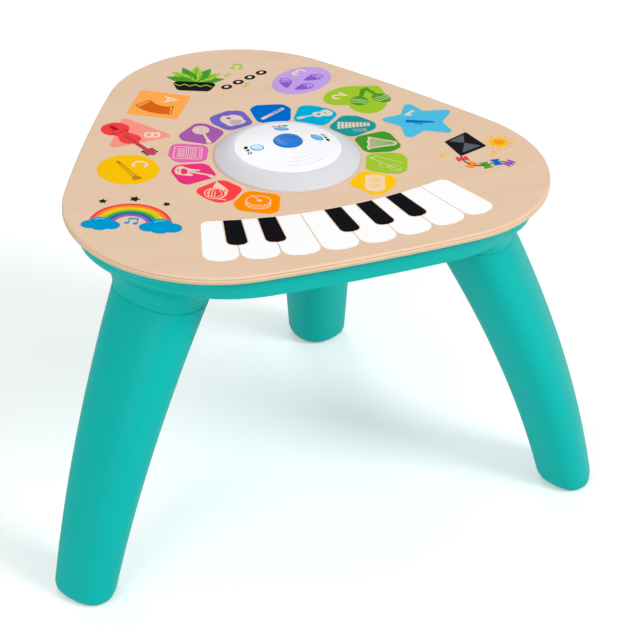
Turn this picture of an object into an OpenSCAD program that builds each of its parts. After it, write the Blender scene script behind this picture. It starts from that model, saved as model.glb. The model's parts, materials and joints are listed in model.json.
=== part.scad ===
// Musical activity table: a rounded three-sided plywood top with a printed keyboard and
// touch pads, a domed sound console, a moulded housing and three curved legs.
// Origin: on the floor, at the middle of the bounding box. +Z is up, -Y is the keyboard side.

/* [Table] */
// Height of the play surface above the floor
table_h = 320; // [280:5:360]

/* [Top panel] */
// Distance from the console axis to each corner's arc centre
corner_offset = 106; // [100:1:112]
// Radius of the rounded corners
corner_r = 130; // [124:1:136]
// Radius of the gently bowed sides
side_r = 1750; // [1200:50:3000]
// Plywood thickness
panel_t = 7.5; // [6:0.5:10]
// Rounding of the panel's edges
panel_round = 1.5; // [0.5:0.25:2]
// Thickness of a printed ink layer
ink_t = 0.15; // [0.1:0.05:0.3]

/* [Housing] */
// Inset of the skirt from the panel's edge
housing_inset = 8; // [5:0.5:11]
// Depth of the skirt below the panel
skirt_h = 21.5; // [21:0.5:26]
// Wall thickness of the mouldings
wall = 2.5; // [2:0.25:3.5]
// How far the skirt's corners draw in at their lower edge
corner_draw = 16; // [8:1:20]
// Growth of the front collars where they meet the housing's floor
collar_flare = 28; // [20:1:30]
// Growth of the rear collar where it meets the housing's floor
rear_flare = 18; // [12:1:20]

/* [Legs] */
// Distance from the console axis to each front foot
foot_reach = 279.5; // [265:0.5:290]
// Outward run of a front leg between the play surface's level and the floor
leg_splay = 144.9; // [130:0.1:155]
// Share of bow in a leg's curve
leg_bow = 0.454; // [0.3:0.01:0.6]
// Half width of a leg across its splay, at the play surface's level
neck_wide = 49; // [46:0.5:51]
// Half depth of a leg along its splay, at the play surface's level
neck_deep = 43.3; // [41:0.1:45]
// Half width of the foot
foot_wide = 28.5; // [25:0.5:32]
// Half depth of the foot
foot_deep = 25.3; // [22:0.1:28]
// Rounding of the foot's lower edge
foot_round = 8; // [4:0.5:10]
// Wall thickness of the hollow legs
leg_wall = 3; // [2:0.25:4]
// Depth of the seam between a leg and its collar, below the play surface
seam_drop = 58; // [56:1:65]
// Radius of the spigot on top of each leg
spigot_r = 30; // [27:0.5:31]
// Length of the spigot
spigot_h = 24; // [18:1:26]
// Distance from the console axis to the rear foot
rear_reach = 218.6; // [205:0.1:230]
// Direction of the rear foot, anticlockwise from +X
rear_angle = 57.5; // [56:0.5:60]
// Outward run of the rear leg
rear_splay = 101; // [90:1:110]

/* [Console] */
// Radius of the grey ring at the panel
ring_r = 65.7; // [62:0.1:68]
// Height of the ring
ring_rise = 10.3; // [8:0.1:11]
// Radius of the white dome
dome_r = 48.5; // [48:0.5:51]
// Rise of the dome above the ring
dome_rise = 6.5; // [5:0.5:13]
// Wall thickness of the console's mouldings
shell = 2; // [1.5:0.25:2.5]
// Radius of the mode button
button_r = 13; // [11:0.5:14]
// Travel of the mode button
button_travel = 1.5; // [1:0.25:2]
// Running gap round buttons, knobs and lenses
gap = 0.3; // [0.2:0.05:0.4]

/* [Keyboard] */
// Distance from the console axis back to the centre that the keys fan from
fan_back = 251; // [245:1:257]
// Distance from the console axis back to the centre of the arcs that the keys end on
arc_back = 294; // [290:1:300]
// Clearance from the nearest instrument pad to the white keys
key_clear = 8.5; // [7:0.1:12]
// Length of a white key
key_l = 67; // [60:0.5:70]
// Number of white keys
white_keys = 8; // [5:1:8]
// Angle from one white key to the next
key_step = 4.86; // [4.5:0.01:5]
// Angle from the middle of the keyboard to either end, where the outermost keys are trimmed
fan_half = 19.05; // [18:0.05:20]
// Rounding of the white keys' outer corners
key_round = 11; // [6:0.5:13]
// Gap between the white keys
key_gap = 1.2; // [0.8:0.1:2]
// Width of a black key
black_w = 16.6; // [12:0.1:17]
// Length of a black key
black_l = 42; // [34:1:48]

/* [Pads] */
// Number of instrument pads round the console
pads = 12; // [8:1:12]
// Clearance from the console ring to the instrument pads
pad_clear = 4.5; // [3:0.1:8]
// Angle from one pad to the next
pad_step = 25.83; // [25:0.01:26]
// Size of a pad across
pad_w = 37; // [30:0.5:38]
// Radius of the round shape pad, which sets the size of all six
shape_r = 27; // [20:0.5:28]

/* [Battery bay] */
// Number of cells
cells = 3; // [2:1:3]
// Radius of a cell
cell_r = 7.25; // [5.25:0.25:7.25]
// Length of a cell
cell_l = 50.5; // [44.5:0.5:50.5]
// Thickness of the battery door
door_t = 3; // [2.5:0.25:3]
// Distance from the console axis to the middle of the bay
bay_y = -88; // [-92:1:-84]

/* [Speaker] */
// Radius of the speaker
speaker_r = 28.5; // [25:0.5:30]
// Place of the speaker, across
speaker_x = -82; // [-86:1:-80]
// Place of the speaker, front to back
speaker_y = 38; // [34:1:42]
// Radius of a hole in the grille
grille_r = 1.8; // [1.2:0.1:2]

/* [Electronics] */
// Width of the main board
board_w = 56; // [46:1:58]
// Depth of the main board
board_d = 60; // [50:1:62]
// Place of the main board, across
board_x = -50; // [-52:1:-48]
// Place of the main board, front to back
board_y = 118; // [116:1:120]
// Thickness of the circuit boards
pcb_t = 1.6; // [1:0.2:2]
// Place of the volume switch, across
switch_x = -8; // [-12:1:-4]
// Place of the volume switch, front to back
switch_y = 170; // [166:1:172]
// Travel of the volume knob from off to loud
knob_travel = 8; // [6:0.5:8]

/* [Hidden] */
$fn = 64;
slop = 0.01;             // overrun of a cut past a face

// Levels, from the floor
panel_z = table_h - panel_t;       // underside of the top panel
skirt_z = panel_z - skirt_h;       // lower edge of the skirt and tray
floor_z = skirt_z + wall;          // inner face of the tray's floor

// Plan of the whole table: the console axis stands this far behind the middle
half_side = corner_offset * sin(60);
side_drop = corner_offset * cos(60);
side_k = sqrt(pow(side_r - corner_r, 2) - pow(half_side, 2)) - side_drop;
side_reach = side_r - side_k;
corner_reach = corner_offset + corner_r;
axis_y = (side_reach - corner_reach) / 2;

// Legs: direction, foot reach, splay and collar flare of each
seam_z = table_h - seam_drop;
LEFT = [210, foot_reach, leg_splay, collar_flare];
RIGHT = [330, foot_reach, leg_splay, collar_flare];
REAR = [rear_angle, rear_reach, rear_splay, rear_flare];
LEGS = [LEFT, RIGHT, REAR];
leg_taper_bow = 0.144;   // bow in the taper from neck to foot
lobe = 0.07;             // softly three-lobed leg section
leg_sides = 48;
leg_rings = 16;

// Screws: shank radius, head radius, head height
wood_screw = [1.5, 3.2, 2.2];
small_screw = [1.05, 2.2, 1.4];
tiny_screw = [0.9, 1.8, 1.1];
screw_gap = 0.05;

// ---------- shared shapes ----------

function polar(r, a) = [r * cos(a), r * sin(a)];
function arc_points(c, r, a0, a1, n) = [for (i = [0 : n - 1]) c + polar(r, a0 + (a1 - a0) * i / n)];

// Rounded three-sided outline, anticlockwise, drawn in by "inset"
function outline(inset, off = corner_offset, rad = corner_r, n_side = 6, n_corner = 26) =
    let (rs = side_r, k = sqrt(pow(rs - rad, 2) - pow(off * sin(60), 2)) - off * cos(60),
         half = asin(off * sin(60) / (rs - rad)))
    [for (a = [-90, 30, 150]) each concat(
        arc_points(polar(-k, a), rs - inset, a - half, a + half, n_side),
        arc_points(polar(off, a + 60), rad - inset, a + half, a + 120 - half, n_corner))];

// The same outline with its corners drawn in and its sides left in place
function drawn_outline(inset, draw) = outline(inset, corner_offset - draw, corner_r + 0.4 * draw);

function lift(points, z) = [for (p = points) [p[0], p[1], z]];

// Solid through a stack of rings, lowest first, each anticlockwise from above
module loft(rings) {
    n = len(rings[0]);
    m = len(rings);
    polyhedron(
        points = [for (r = rings) each r],
        faces = concat(
            [[for (i = [0 : n - 1]) i]],
            [[for (i = [n - 1 : -1 : 0]) (m - 1) * n + i]],
            [for (j = [0 : m - 2], i = [0 : n - 1])
                [j * n + i, (j + 1) * n + i, (j + 1) * n + (i + 1) % n]],
            [for (j = [0 : m - 2], i = [0 : n - 1])
                [j * n + i, (j + 1) * n + (i + 1) % n, j * n + (i + 1) % n]]));
}

module tube(outer, inner, h) {
    difference() {
        cylinder(r = outer, h = h);
        translate([0, 0, -slop]) cylinder(r = inner, h = h + 2 * slop);
    }
}

module ring_place(r, angles) {
    for (a = angles) rotate(a) translate([r, 0, 0]) children();
}

module box(x, y, z) {
    translate([-x / 2, -y / 2, 0]) cube([x, y, z]);
}

// Screw with its head's bearing face at z = 0 and its shank pointing up
module screw(size, length) {
    cylinder(r = size[0], h = length);
    difference() {
        translate([0, 0, -size[2]]) cylinder(r = size[1], h = size[2]);
        for (a = [0, 90]) rotate(a) translate([0, 0, -size[2] - slop])
            box(size[1] * 1.1, size[1] * 0.3, size[2] * 0.4);
    }
}

// ---------- legs ----------

function drop(z) = (table_h - z) / table_h;
function ease(u, bow) = u * (1 + bow) - bow * u * u;
function leg_rho(leg, z) = leg[1] - leg[2] * (1 - ease(drop(z), leg_bow));
function leg_half(neck, foot, z) = neck + (foot - neck) * ease(drop(z), leg_taper_bow);

// Leg section at height z, grown by "grow" and moved outward by "out", as points in plan
function leg_section(leg, z, grow, out = 0) =
    let (wide = leg_half(neck_wide, foot_wide, z) + grow, deep = leg_half(neck_deep, foot_deep, z) + grow)
    [for (i = [0 : leg_sides - 1])
        let (t = 360 * i / leg_sides, r = 1 - lobe * cos(3 * t), x = deep * r * cos(t),
            y = wide * r * sin(t))
        polar(leg_rho(leg, z) + out, leg[0]) + [x * cos(leg[0]) - y * sin(leg[0]),
            x * sin(leg[0]) + y * cos(leg[0])]];

// The spigot stands upright, set inward so that it stays inside the leaning collar
module at_spigot(leg) {
    rotate(leg[0]) translate([leg_rho(leg, seam_z + 0.3 * spigot_h), 0, seam_z]) children();
}

catch_out = 1.2;         // how far a snap catch stands out of the spigot
catch_w = 10;
catch_h = 4;
catch_z = 12;
socket_gap = 0.2;
seam_groove = 0.6;       // chamfer on both sides of the seam

module leg(leg) {
    color([0.12, 0.70, 0.66]) {
        difference() {
            loft(concat(
                [for (a = [0 : 30 : 60]) lift(leg_section(leg, foot_round * (1 - cos(a)),
                    -foot_round * (1 - sin(a))),
                    foot_round * (1 - cos(a)))],
                [for (i = [0 : leg_rings]) let (z = foot_round + (seam_z - seam_groove - foot_round)
                    * i / leg_rings)
                    lift(leg_section(leg, z, 0), z)],
                [lift(leg_section(leg, seam_z, -seam_groove), seam_z)]));
            loft([for (i = [0 : 6]) let (z = 2 * leg_wall + (seam_z - 3 * leg_wall) * i / 6)
                lift(leg_section(leg, z, -leg_wall), z)]);
            at_spigot(leg) translate([0, 0, -2 * leg_wall])
                cylinder(r = spigot_r - leg_wall, h = 3 * leg_wall);
        }
        at_spigot(leg) {
            tube(spigot_r, spigot_r - leg_wall, spigot_h);
            for (s = [-1, 1]) translate([0, s * (spigot_r - 1), catch_z])
                box(catch_w, 2 * (catch_out + 1), catch_h);
        }
    }
}

module leg_left() leg(LEFT);
module leg_right() leg(RIGHT);
module leg_rear() leg(REAR);

// ---------- top panel and its prints ----------

panel_hole_r = dome_r - shell + 0.2;
post_r = 4.8;
side_post_angles = [253, 287, 12, 22, 133, 167];
back_post_angles = [82, 98];
post_spots = concat([for (a = side_post_angles) polar(162, a)], [for (a = back_post_angles) polar(192, a)]);
screw_bite = 5.8;        // length of a wood screw in the panel

module top_panel() {
    r = panel_round;
    color([0.89, 0.77, 0.66]) difference() {
        loft([for (s = [[0, r], [0.3 * r, 0.3 * r], [r, 0], [panel_t - r, 0],
            [panel_t - 0.3 * r, 0.3 * r], [panel_t, r]])
            lift(outline(s[1]), panel_z + s[0])]);
        translate([0, 0, panel_z - slop]) cylinder(r = panel_hole_r, h = panel_t + 2 * slop);
        for (p = post_spots) translate([p[0], p[1], panel_z - slop])
            cylinder(r = wood_screw[0] + screw_gap, h = screw_bite + 0.3);
    }
}

module printed() {
    translate([0, 0, table_h]) linear_extrude(ink_t) children();
}

pad_ring_r = ring_r + pad_clear + pad_w / 2;
function pad_angle(i) = 90 + (i - (pads - 1) / 2) * pad_step;

// Radii of the arcs that the white keys end on
key_in_r = norm(polar(pad_ring_r, pad_angle(0)) - [0, arc_back]) + pad_w / 2 + key_clear;
key_out_r = key_in_r + key_l;

// Where the fan's line at angle "a" meets the arc of radius "r", and how far out that is
function fan_reach(r, a) = let (d = arc_back - fan_back) sqrt(r * r - pow(d * sin(a), 2)) - d * cos(a);
function fan_point(r, a) = [0, fan_back] + polar(fan_reach(r, a), -90 + a);
black_steps = [0, 1, 3, 4, 5];
function key_edge(i) = max(-fan_half, min(fan_half, (i - white_keys / 2) * key_step));

module white_key_shape(i) {
    half_gap = asin(key_gap / 2 / (key_in_r - arc_back + fan_back));
    a0 = key_edge(i) + half_gap;
    a1 = key_edge(i + 1) - half_gap;
    n = 4;
    difference() {
        offset(r = key_round) offset(delta = -key_round) polygon(concat(
            [for (j = [0 : n]) fan_point(key_in_r - 2 * key_round, a0 + (a1 - a0) * j / n)],
            [for (j = [n : -1 : 0]) fan_point(key_out_r, a0 + (a1 - a0) * j / n)]));
        translate([0, arc_back]) circle(r = key_in_r, $fn = 720);
    }
}

module black_key_shape(i, grow) {
    w = black_w + 2 * grow;
    start = fan_reach(key_in_r, key_edge(i + 1));
    translate([0, fan_back]) rotate(-90 + key_edge(i + 1)) {
        translate([start - grow, -w / 2]) square([black_l - w / 2 + grow, w]);
        translate([start + black_l - w / 2, 0]) circle(d = w);
    }
}

module white_key_prints() {
    color("white") printed() difference() {
        for (i = [0 : white_keys - 1]) white_key_shape(i);
        for (i = black_steps) if (i < white_keys - 1) black_key_shape(i, key_gap);
    }
}

module black_key_prints() {
    color([0.06, 0.06, 0.07]) printed()
        for (i = black_steps) if (i < white_keys - 1) black_key_shape(i, 0);
}

pad_round = 5;

// Rounded stone, its narrower end towards the console
module pad_shape() {
    w = pad_w / 2;
    half = [[1, 0.35], [0.78, 0.85], [0, 1], [-0.95, 0.68]];
    offset(r = pad_round) offset(delta = -pad_round)
        polygon(concat([for (p = half) w * p], [for (k = [3 : -1 : 0]) w * [half[k][0], -half[k][1]]]));
}

module instrument_pad_prints() {
    color([0.1, 0.6, 0.85]) printed()
        for (i = [0 : pads - 1]) rotate(pad_angle(i)) translate([pad_ring_r, 0]) pad_shape();
}

shape_x = [73.5, 112, 142.5];        // the three pairs of shapes, across
shape_y = [141, 88, 26.5];           // and front to back

module star(r) {
    polygon([for (i = [0 : 9]) polar(i % 2 == 0 ? r : r * 0.62, 36 * i)]);
}

// Heart with its tip along +X
module heart(r) {
    half = 0.55 * r;
    rotate(135) {
        square(2 * half, center = true);
        translate([0, half]) circle(r = half);
        translate([half, 0]) circle(r = half);
    }
}

module ellipse(a, b) {
    polygon([for (t = [0 : 5 : 355]) [a * cos(t), b * sin(t)]]);
}

module shape_prints() {
    color([0.96, 0.7, 0.35]) printed() {
        translate([-shape_x[0], shape_y[0]]) rotate(-33) square(1.8 * shape_r, center = true);
        translate([-shape_x[1], shape_y[1]]) polygon([for (a = [92, 212, 332]) polar(1.25 * shape_r, a)]);
        translate([-shape_x[2], shape_y[2]]) circle(r = shape_r);
        translate([shape_x[0], shape_y[0]]) rotate(15) ellipse(1.15 * shape_r, 0.95 * shape_r);
        translate([shape_x[1], shape_y[1]]) rotate(35) heart(1.2 * shape_r);
        translate([shape_x[2], shape_y[2]]) rotate(87) star(1.35 * shape_r);
    }
}

// ---------- housing ----------

socket_wall = 2.5;
socket_top = seam_z + spigot_h + 2;
head_sink = 4;           // depth of the wood screws' counterbores

// Skirt: how far its corners draw in, at shares of its height from the lower edge up
skirt_curve = [1.25, 2.2];
skirt_top_draw = 0.12;
function skirt_share(t) = skirt_top_draw + (1 - skirt_top_draw) * pow(1 - pow(t, skirt_curve[0]),
    skirt_curve[1]);
function skirt_steps(n) = [for (i = [0 : n]) [i / n, skirt_share(i / n)]];
function skirt_ring(inset, step, z) = lift(drawn_outline(housing_inset + inset, corner_draw * step), z);

// Collar: share of its flare at shares of the height from the seam to the skirt's lower edge
flare_curve = 2.3;
flare_top = 1.7;
collar_out = 2.5;        // how far the collars stand outward of the legs' line
function flare_share(s) = s < 1 ? 0.96 * pow(s, flare_curve)
    : 0.96 + 0.44 * (1 - pow((flare_top - s) / (flare_top - 1), 3));
function collar_rings(leg, grow, z0, first, n) = concat(
    [lift(leg_section(leg, z0, grow - first), z0)],
    [for (i = [0 : n]) let (s = 0.05 + (flare_top - 0.05) * i / n, z = z0 + (skirt_z - z0) * s)
        lift(leg_section(leg, z, leg[3] * flare_share(s) + grow, collar_out * min(1, 2.5 * s)), z)]);

// Battery bay, in its own frame: X along the cells, Y across them
cell_pitch = 2 * cell_r + 0.8;
contact_gap = 3;
tub_x = cell_l + 2 * contact_gap;
tub_y = cells * cell_pitch;
tub_wall = 1.6;
tub_fit = 0.4;
cell_z = skirt_z + door_t + 0.4 + cell_r;
tub_top = cell_z + cell_r + 0.3 + tub_wall;
ledge = 3.6;             // overlap of the door on its frame
door_x = tub_x + 2 * (tub_wall + tub_fit + ledge);
door_y = tub_y + 2 * (tub_wall + tub_fit + 2);
frame_bar = 7.5;
frame_top = skirt_z + 6;
hinge_pin_r = 0.9;
hinge_pin_l = 2.2;
hinge_bore_gap = 0.06;
hinge_x = -door_x / 2 + door_t / 2;
hinge_z = skirt_z + door_t / 2;
lug_r = 5.5;
lug_x = door_x / 2 + 2.5;
door_screw = [1.4, 2.8, 1.5];
door_screw_bite = 2;
door_screw_l = door_t - door_screw[2] + 0.2 + door_screw_bite;
door_screw_gap = 0.3;

module door_shape(grow) {
    translate([-door_x / 2 - grow, -door_y / 2 - grow]) square([door_x + 2 * grow, door_y + 2 * grow]);
    translate([lug_x, 0]) circle(r = lug_r + grow);
}

module hinge_bore() {
    translate([hinge_x, 0, hinge_z]) rotate([90, 0, 0])
        cylinder(r = hinge_pin_r + hinge_bore_gap, h = door_y + 2 * (hinge_pin_l + 0.3), center = true);
}

module bay_frame() {
    inner_x = tub_x + 2 * (tub_wall + tub_fit);
    inner_y = tub_y + 2 * (tub_wall + tub_fit);
    outer_x = inner_x + 2 * frame_bar;
    outer_y = door_y + 7;
    difference() {
        union() {
            translate([0, 0, skirt_z]) box(outer_x, outer_y, frame_top - skirt_z);
            translate([lug_x, 0, skirt_z]) cylinder(r = lug_r + 2.5, h = frame_top - skirt_z);
        }
        translate([0, 0, skirt_z - slop]) linear_extrude(door_t + 0.2 + slop) door_shape(gap);
        translate([0, 0, skirt_z]) box(inner_x, inner_y, 2 * (frame_top - skirt_z));
        hinge_bore();
        translate([lug_x, 0, skirt_z]) cylinder(r = door_screw[0] + door_screw_gap,
            h = frame_top + 1 - skirt_z);
        tub_screw_places() translate([0, 0, frame_top - 4])
            cylinder(r = small_screw[0] + screw_gap, h = 4 + slop);
    }
}

tub_flange_t = 1.6;
tub_screw_l = frame_top + tub_flange_t - skirt_z - door_t - 0.5;   // stops above the door

module tub_screw_places() {
    for (x = [-1, 1], y = [-1, 1])
        translate([x * (tub_x / 2 + tub_wall + tub_fit + frame_bar / 2), y * tub_y * 0.36, 0]) children();
}

module at_bay() { translate([0, bay_y, 0]) children(); }
module at_speaker() { translate([speaker_x, speaker_y, floor_z]) children(); }
module at_board() { translate([board_x, board_y, 0]) children(); }
module at_switch() { translate([switch_x, switch_y, 0]) children(); }

board_z = floor_z + 5.5;
switch_z = floor_z + 5;
switch_ear = 13;
knob_w = 6;
knob_d = 4.2;
knob_out = 1.6;
speaker_screw_r = speaker_r + 3.6;
speaker_flange_z = 2.5;

module board_corners() {
    for (x = [-1, 1], y = [-1, 1]) translate([x * (board_w / 2 - 4), y * (board_d / 2 - 4), 0]) children();
}

module grille() {
    for (row = [-3 : 3], col = [-3 : 3]) {
        x = (col + (row % 2 == 0 ? 0 : 0.5)) * 3.6 * grille_r;
        y = row * 3.1 * grille_r;
        if (norm([x, y]) < speaker_r - 8) translate([x, y, -wall - slop])
            cylinder(r = grille_r, h = wall + 2 * slop, $fn = 24);
    }
}

module housing_shell() {
    difference() {
        union() {
            loft([for (s = skirt_steps(8)) skirt_ring(0, s[1], skirt_z + skirt_h * s[0])]);
            for (leg = LEGS) intersection() {
                loft(collar_rings(leg, 0, seam_z, seam_groove, 12));
                loft([for (z = [seam_z, panel_z]) skirt_ring(0, skirt_top_draw, z)]);
            }
        }
        loft(concat(
            [skirt_ring(wall, 1, floor_z)],
            [for (s = skirt_steps(5)) if (s[0] > 0 && s[0] < 1)
                skirt_ring(wall, s[1], floor_z + (skirt_h - wall) * s[0])],
            [skirt_ring(wall, skirt_top_draw, panel_z), skirt_ring(wall, skirt_top_draw, panel_z + 1)]));
        for (leg = LEGS) difference() {
            intersection() {
                loft(collar_rings(leg, -wall, seam_z + wall, 0, 7));
                loft([for (z = [seam_z, panel_z]) skirt_ring(wall, skirt_top_draw, z)]);
            }
            at_spigot(leg) cylinder(r = spigot_r + socket_gap + socket_wall,
                h = socket_top + socket_wall - seam_z);
        }
    }
}

module base_housing() {
    color([0.10, 0.68, 0.64]) {
        difference() {
            union() {
                housing_shell();
                for (p = post_spots) translate([p[0], p[1], skirt_z]) cylinder(r = post_r, h = skirt_h);
                at_board() board_corners() translate([0, 0, floor_z - slop])
                    cylinder(r = 3, h = board_z - floor_z + slop);
                at_speaker() ring_place(speaker_screw_r, [30, 150, 270]) translate([0, 0, -slop])
                    cylinder(r = 3, h = speaker_flange_z + slop);
                at_switch() for (s = [-1, 1]) translate([s * switch_ear, 0, floor_z - slop])
                    cylinder(r = 2.6, h = switch_z - floor_z + slop);
            }
            for (leg = LEGS) at_spigot(leg) {
                translate([0, 0, -slop]) cylinder(r = spigot_r + socket_gap, h = socket_top - seam_z);
                for (s = [-1, 1]) translate([0, s * spigot_r, catch_z - gap])
                    box(catch_w + 2 * gap, 2 * (catch_out + gap) + 1, catch_h + 2 * gap);
            }
            for (p = post_spots) translate([p[0], p[1], skirt_z]) {
                translate([0, 0, -slop]) cylinder(r = wood_screw[1] + 0.3, h = head_sink + slop);
                cylinder(r = wood_screw[0] + 0.2, h = skirt_h + slop);
            }
            at_board() board_corners() translate([0, 0, floor_z + 0.5])
                cylinder(r = small_screw[0] + screw_gap, h = board_z - floor_z);
            at_speaker() ring_place(speaker_screw_r, [30, 150, 270]) translate([0, 0, -1.5])
                cylinder(r = small_screw[0] + screw_gap, h = speaker_flange_z + 2);
            at_speaker() grille();
            at_switch() {
                for (s = [-1, 1]) translate([s * switch_ear, 0, floor_z])
                    cylinder(r = tiny_screw[0] + screw_gap, h = switch_z - floor_z + slop);
                translate([0, 0, skirt_z - slop]) box(knob_w + knob_travel + 2 * gap, knob_d + 2 * gap,
                    wall + 2 * slop);
            }
            at_bay() translate([0, 0, skirt_z - slop]) box(door_x + 2, door_y + 2, wall + 1);
            at_bay() translate([lug_x, 0, skirt_z - slop]) cylinder(r = lug_r + 1, h = wall + 1);
            at_bay() hinge_bore();
        }
        at_bay() bay_frame();
    }
}

module housing_screws() {
    color([0.75, 0.76, 0.78]) for (p = post_spots) translate([p[0], p[1], skirt_z + head_sink])
        screw(wood_screw, skirt_h - head_sink + screw_bite);
}

// ---------- console, on the panel ----------

module at_top() { translate([0, 0, table_h]) children(); }

dome_sphere_r = (dome_r * dome_r + dome_rise * dome_rise) / (2 * dome_rise);
dome_top = ring_rise + dome_rise;
function dome_z(r, in = 0) = dome_top - dome_sphere_r + sqrt(pow(dome_sphere_r - in, 2) - r * r);
tube_r = dome_r - shell - 0.5;       // tube of the ring through the panel
tube_end = -panel_t - 3;
ledge_z = ring_rise - shell;
console_post_r = 3.4;
post_lift = 0.5;                     // posts stop short of the tube's end
console_screw_r = tube_r - shell - console_post_r + 0.8;
console_board_z = 1;
console_screw_angles = [45, 135, 225, 315];
lens_spots = [[28.6, 2, -70], [27.4, 80, -34], [29.4, 178, -55]];   // radius, angle, lie of each lens
lens_l = 12;
lens_w = 8.5;
button_bore = button_r + gap;
flange_top = dome_z(button_bore + 1.3, shell) - 0.15;
stem_z = console_board_z + pcb_t + 4.6 + button_travel + 0.1;

ring_lip = [0.6, 2.1];               // the ring's rounded outer edge: how far in, and how high
ring_curve = 1.4;

// Point on the ring's top, from its outer edge (t = 0) up to the dome (t = 1)
function ring_point(t) = [ring_r - ring_lip[0] - (ring_r - ring_lip[0] - dome_r - 1.2) * t,
    ring_lip[1] + (ring_rise - ring_lip[1]) * (1 - pow(1 - t, ring_curve))];

module console_ring() {
    n = 12;
    color([0.84, 0.85, 0.87]) at_top() difference() {
        union() {
            rotate_extrude($fn = 120) polygon(concat([[ring_r, 0], [ring_r, 1.2]],
                [for (i = [0 : n]) ring_point(i / n)],
                [[dome_r + 0.2, ring_rise], [dome_r + 0.2, ledge_z], [tube_r - shell, ledge_z],
                [tube_r - shell, tube_end], [tube_r, tube_end], [tube_r, ledge_z - shell - 0.6],
                [ring_r - 9.5, 0.4 * ring_rise], [ring_r - 3, 1.2], [ring_r - 2.4, 0]]));
            ring_place(console_screw_r, console_screw_angles) translate([0, 0, tube_end + post_lift])
                cylinder(r = console_post_r, h = console_board_z - tube_end - post_lift);
        }
        ring_place(console_screw_r, console_screw_angles) for (z = [tube_end - slop, console_board_z - 5])
            translate([0, 0, z]) cylinder(r = small_screw[0] + screw_gap, h = 5 + slop);
    }
}

// Pointed leaf of length l and width w
module leaf(l, w) {
    r = (l * l + w * w) / (4 * w);
    intersection() {
        translate([0, r - w / 2]) circle(r = r, $fn = 96);
        translate([0, w / 2 - r]) circle(r = r, $fn = 96);
    }
}

module lens_places() {
    for (s = lens_spots) translate([s[0] * cos(s[1]), s[0] * sin(s[1]), 0]) rotate(s[2]) children();
}

module console_dome() {
    n = 14;
    color([0.97, 0.97, 0.98]) at_top() difference() {
        rotate_extrude($fn = 120) polygon(concat(
            [for (i = [0 : n]) let (r = button_bore + (dome_r - button_bore) * i / n) [r, dome_z(r)]],
            [[dome_r, ledge_z], [dome_r - shell, ledge_z], [dome_r - shell, dome_z(dome_r - shell, shell)]],
            [for (i = [n : -1 : 0]) let (r = button_bore + (dome_r - shell - 1 - button_bore) * i / n)
                [r, dome_z(r, shell)]]));
        lens_places() linear_extrude(dome_top + 1) leaf(lens_l + gap, lens_w + gap);
    }
}

module mode_button() {
    top = dome_top + 0.9;
    side = flange_top - 1.5;
    color([0.0, 0.38, 0.80]) at_top() rotate_extrude($fn = 96) polygon([
        [0, stem_z], [2.6, stem_z], [2.6, stem_z + 1.2], [5, stem_z + 1.2], [5, stem_z + 3],
            [3, stem_z + 3],
        [3, top - shell], [button_r - 1.6, top - shell], [button_r - 1.6, side], [button_bore + 1.3, side],
        [button_bore + 1.3, flange_top], [button_r, flange_top], [button_r, top - 0.9],
            [button_r - 0.9, top],
        [6.6, top + 0.6], [6.2, top + 0.2], [0, top + 0.4]]);
}

module button_spring() {
    base = console_board_z + pcb_t;
    color([0.9, 0.9, 0.88]) at_top() rotate_extrude() polygon([
        [6.2, base], [9, base], [9, base + 0.6], [7.6, base + 0.6], [4.9, stem_z + 0.2],
            [4.9, stem_z + 1.2],
        [2.9, stem_z + 1.2], [2.9, stem_z + 0.4], [4.1, stem_z + 0.1], [6.6, base + 0.9]]);
}

module indicator_lenses() {
    color([0.45, 0.78, 0.95]) at_top() intersection() {
        lens_places() translate([0, 0, console_board_z + pcb_t + 1.5])
            linear_extrude(dome_top) leaf(lens_l, lens_w);
        translate([0, 0, dome_top - dome_sphere_r]) sphere(r = dome_sphere_r + 0.2, $fn = 96);
    }
}

module console_board() {
    color([0.10, 0.42, 0.22]) at_top() difference() {
        translate([0, 0, console_board_z]) cylinder(r = tube_r - shell - 0.3, h = pcb_t);
        ring_place(console_screw_r, console_screw_angles) translate([0, 0, console_board_z - slop])
            cylinder(r = small_screw[0] + 0.2, h = pcb_t + 2 * slop);
    }
}

module tact_switch() {
    color([0.2, 0.2, 0.22]) at_top() translate([0, 0, console_board_z + pcb_t]) {
        box(6, 6, 3.5);
        cylinder(r = 1.7, h = 4.6);
    }
}

module indicator_leds() {
    color([0.95, 0.93, 0.7]) at_top() lens_places() translate([0, 0, console_board_z + pcb_t])
        box(3, 2.4, 1.2);
}

module console_board_screws() {
    color([0.75, 0.76, 0.78]) at_top() ring_place(console_screw_r, console_screw_angles)
        translate([0, 0, console_board_z + pcb_t]) rotate([180, 0, 0]) screw(small_screw, 5);
}

clamp_t = 2;
clamp_r = dome_r + 7;
module console_clamp() {
    color([0.93, 0.93, 0.94]) at_top() difference() {
        rotate_extrude($fn = 96) polygon([[console_screw_r - 5, tube_end - clamp_t],
            [clamp_r, tube_end - clamp_t],
            [clamp_r, -panel_t], [panel_hole_r + 0.6, -panel_t], [panel_hole_r + 0.6, tube_end],
            [console_screw_r - 5, tube_end]]);
        ring_place(console_screw_r, console_screw_angles) translate([0, 0, tube_end - clamp_t - slop])
            cylinder(r = small_screw[0] + 0.2, h = clamp_t + 2 * slop);
    }
}

module console_clamp_screws() {
    color([0.75, 0.76, 0.78]) at_top() ring_place(console_screw_r, console_screw_angles)
        translate([0, 0, tube_end - clamp_t]) screw(small_screw, clamp_t + 4.5);
}

// ---------- touch film and main board ----------

film_t = 0.4;
film_inset = 30;
plug_h = 5;
plug_spots = [[-18, -24], [0, -24], [18, -24], [18, 24]];
film_plug = [-8, 24];

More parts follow.
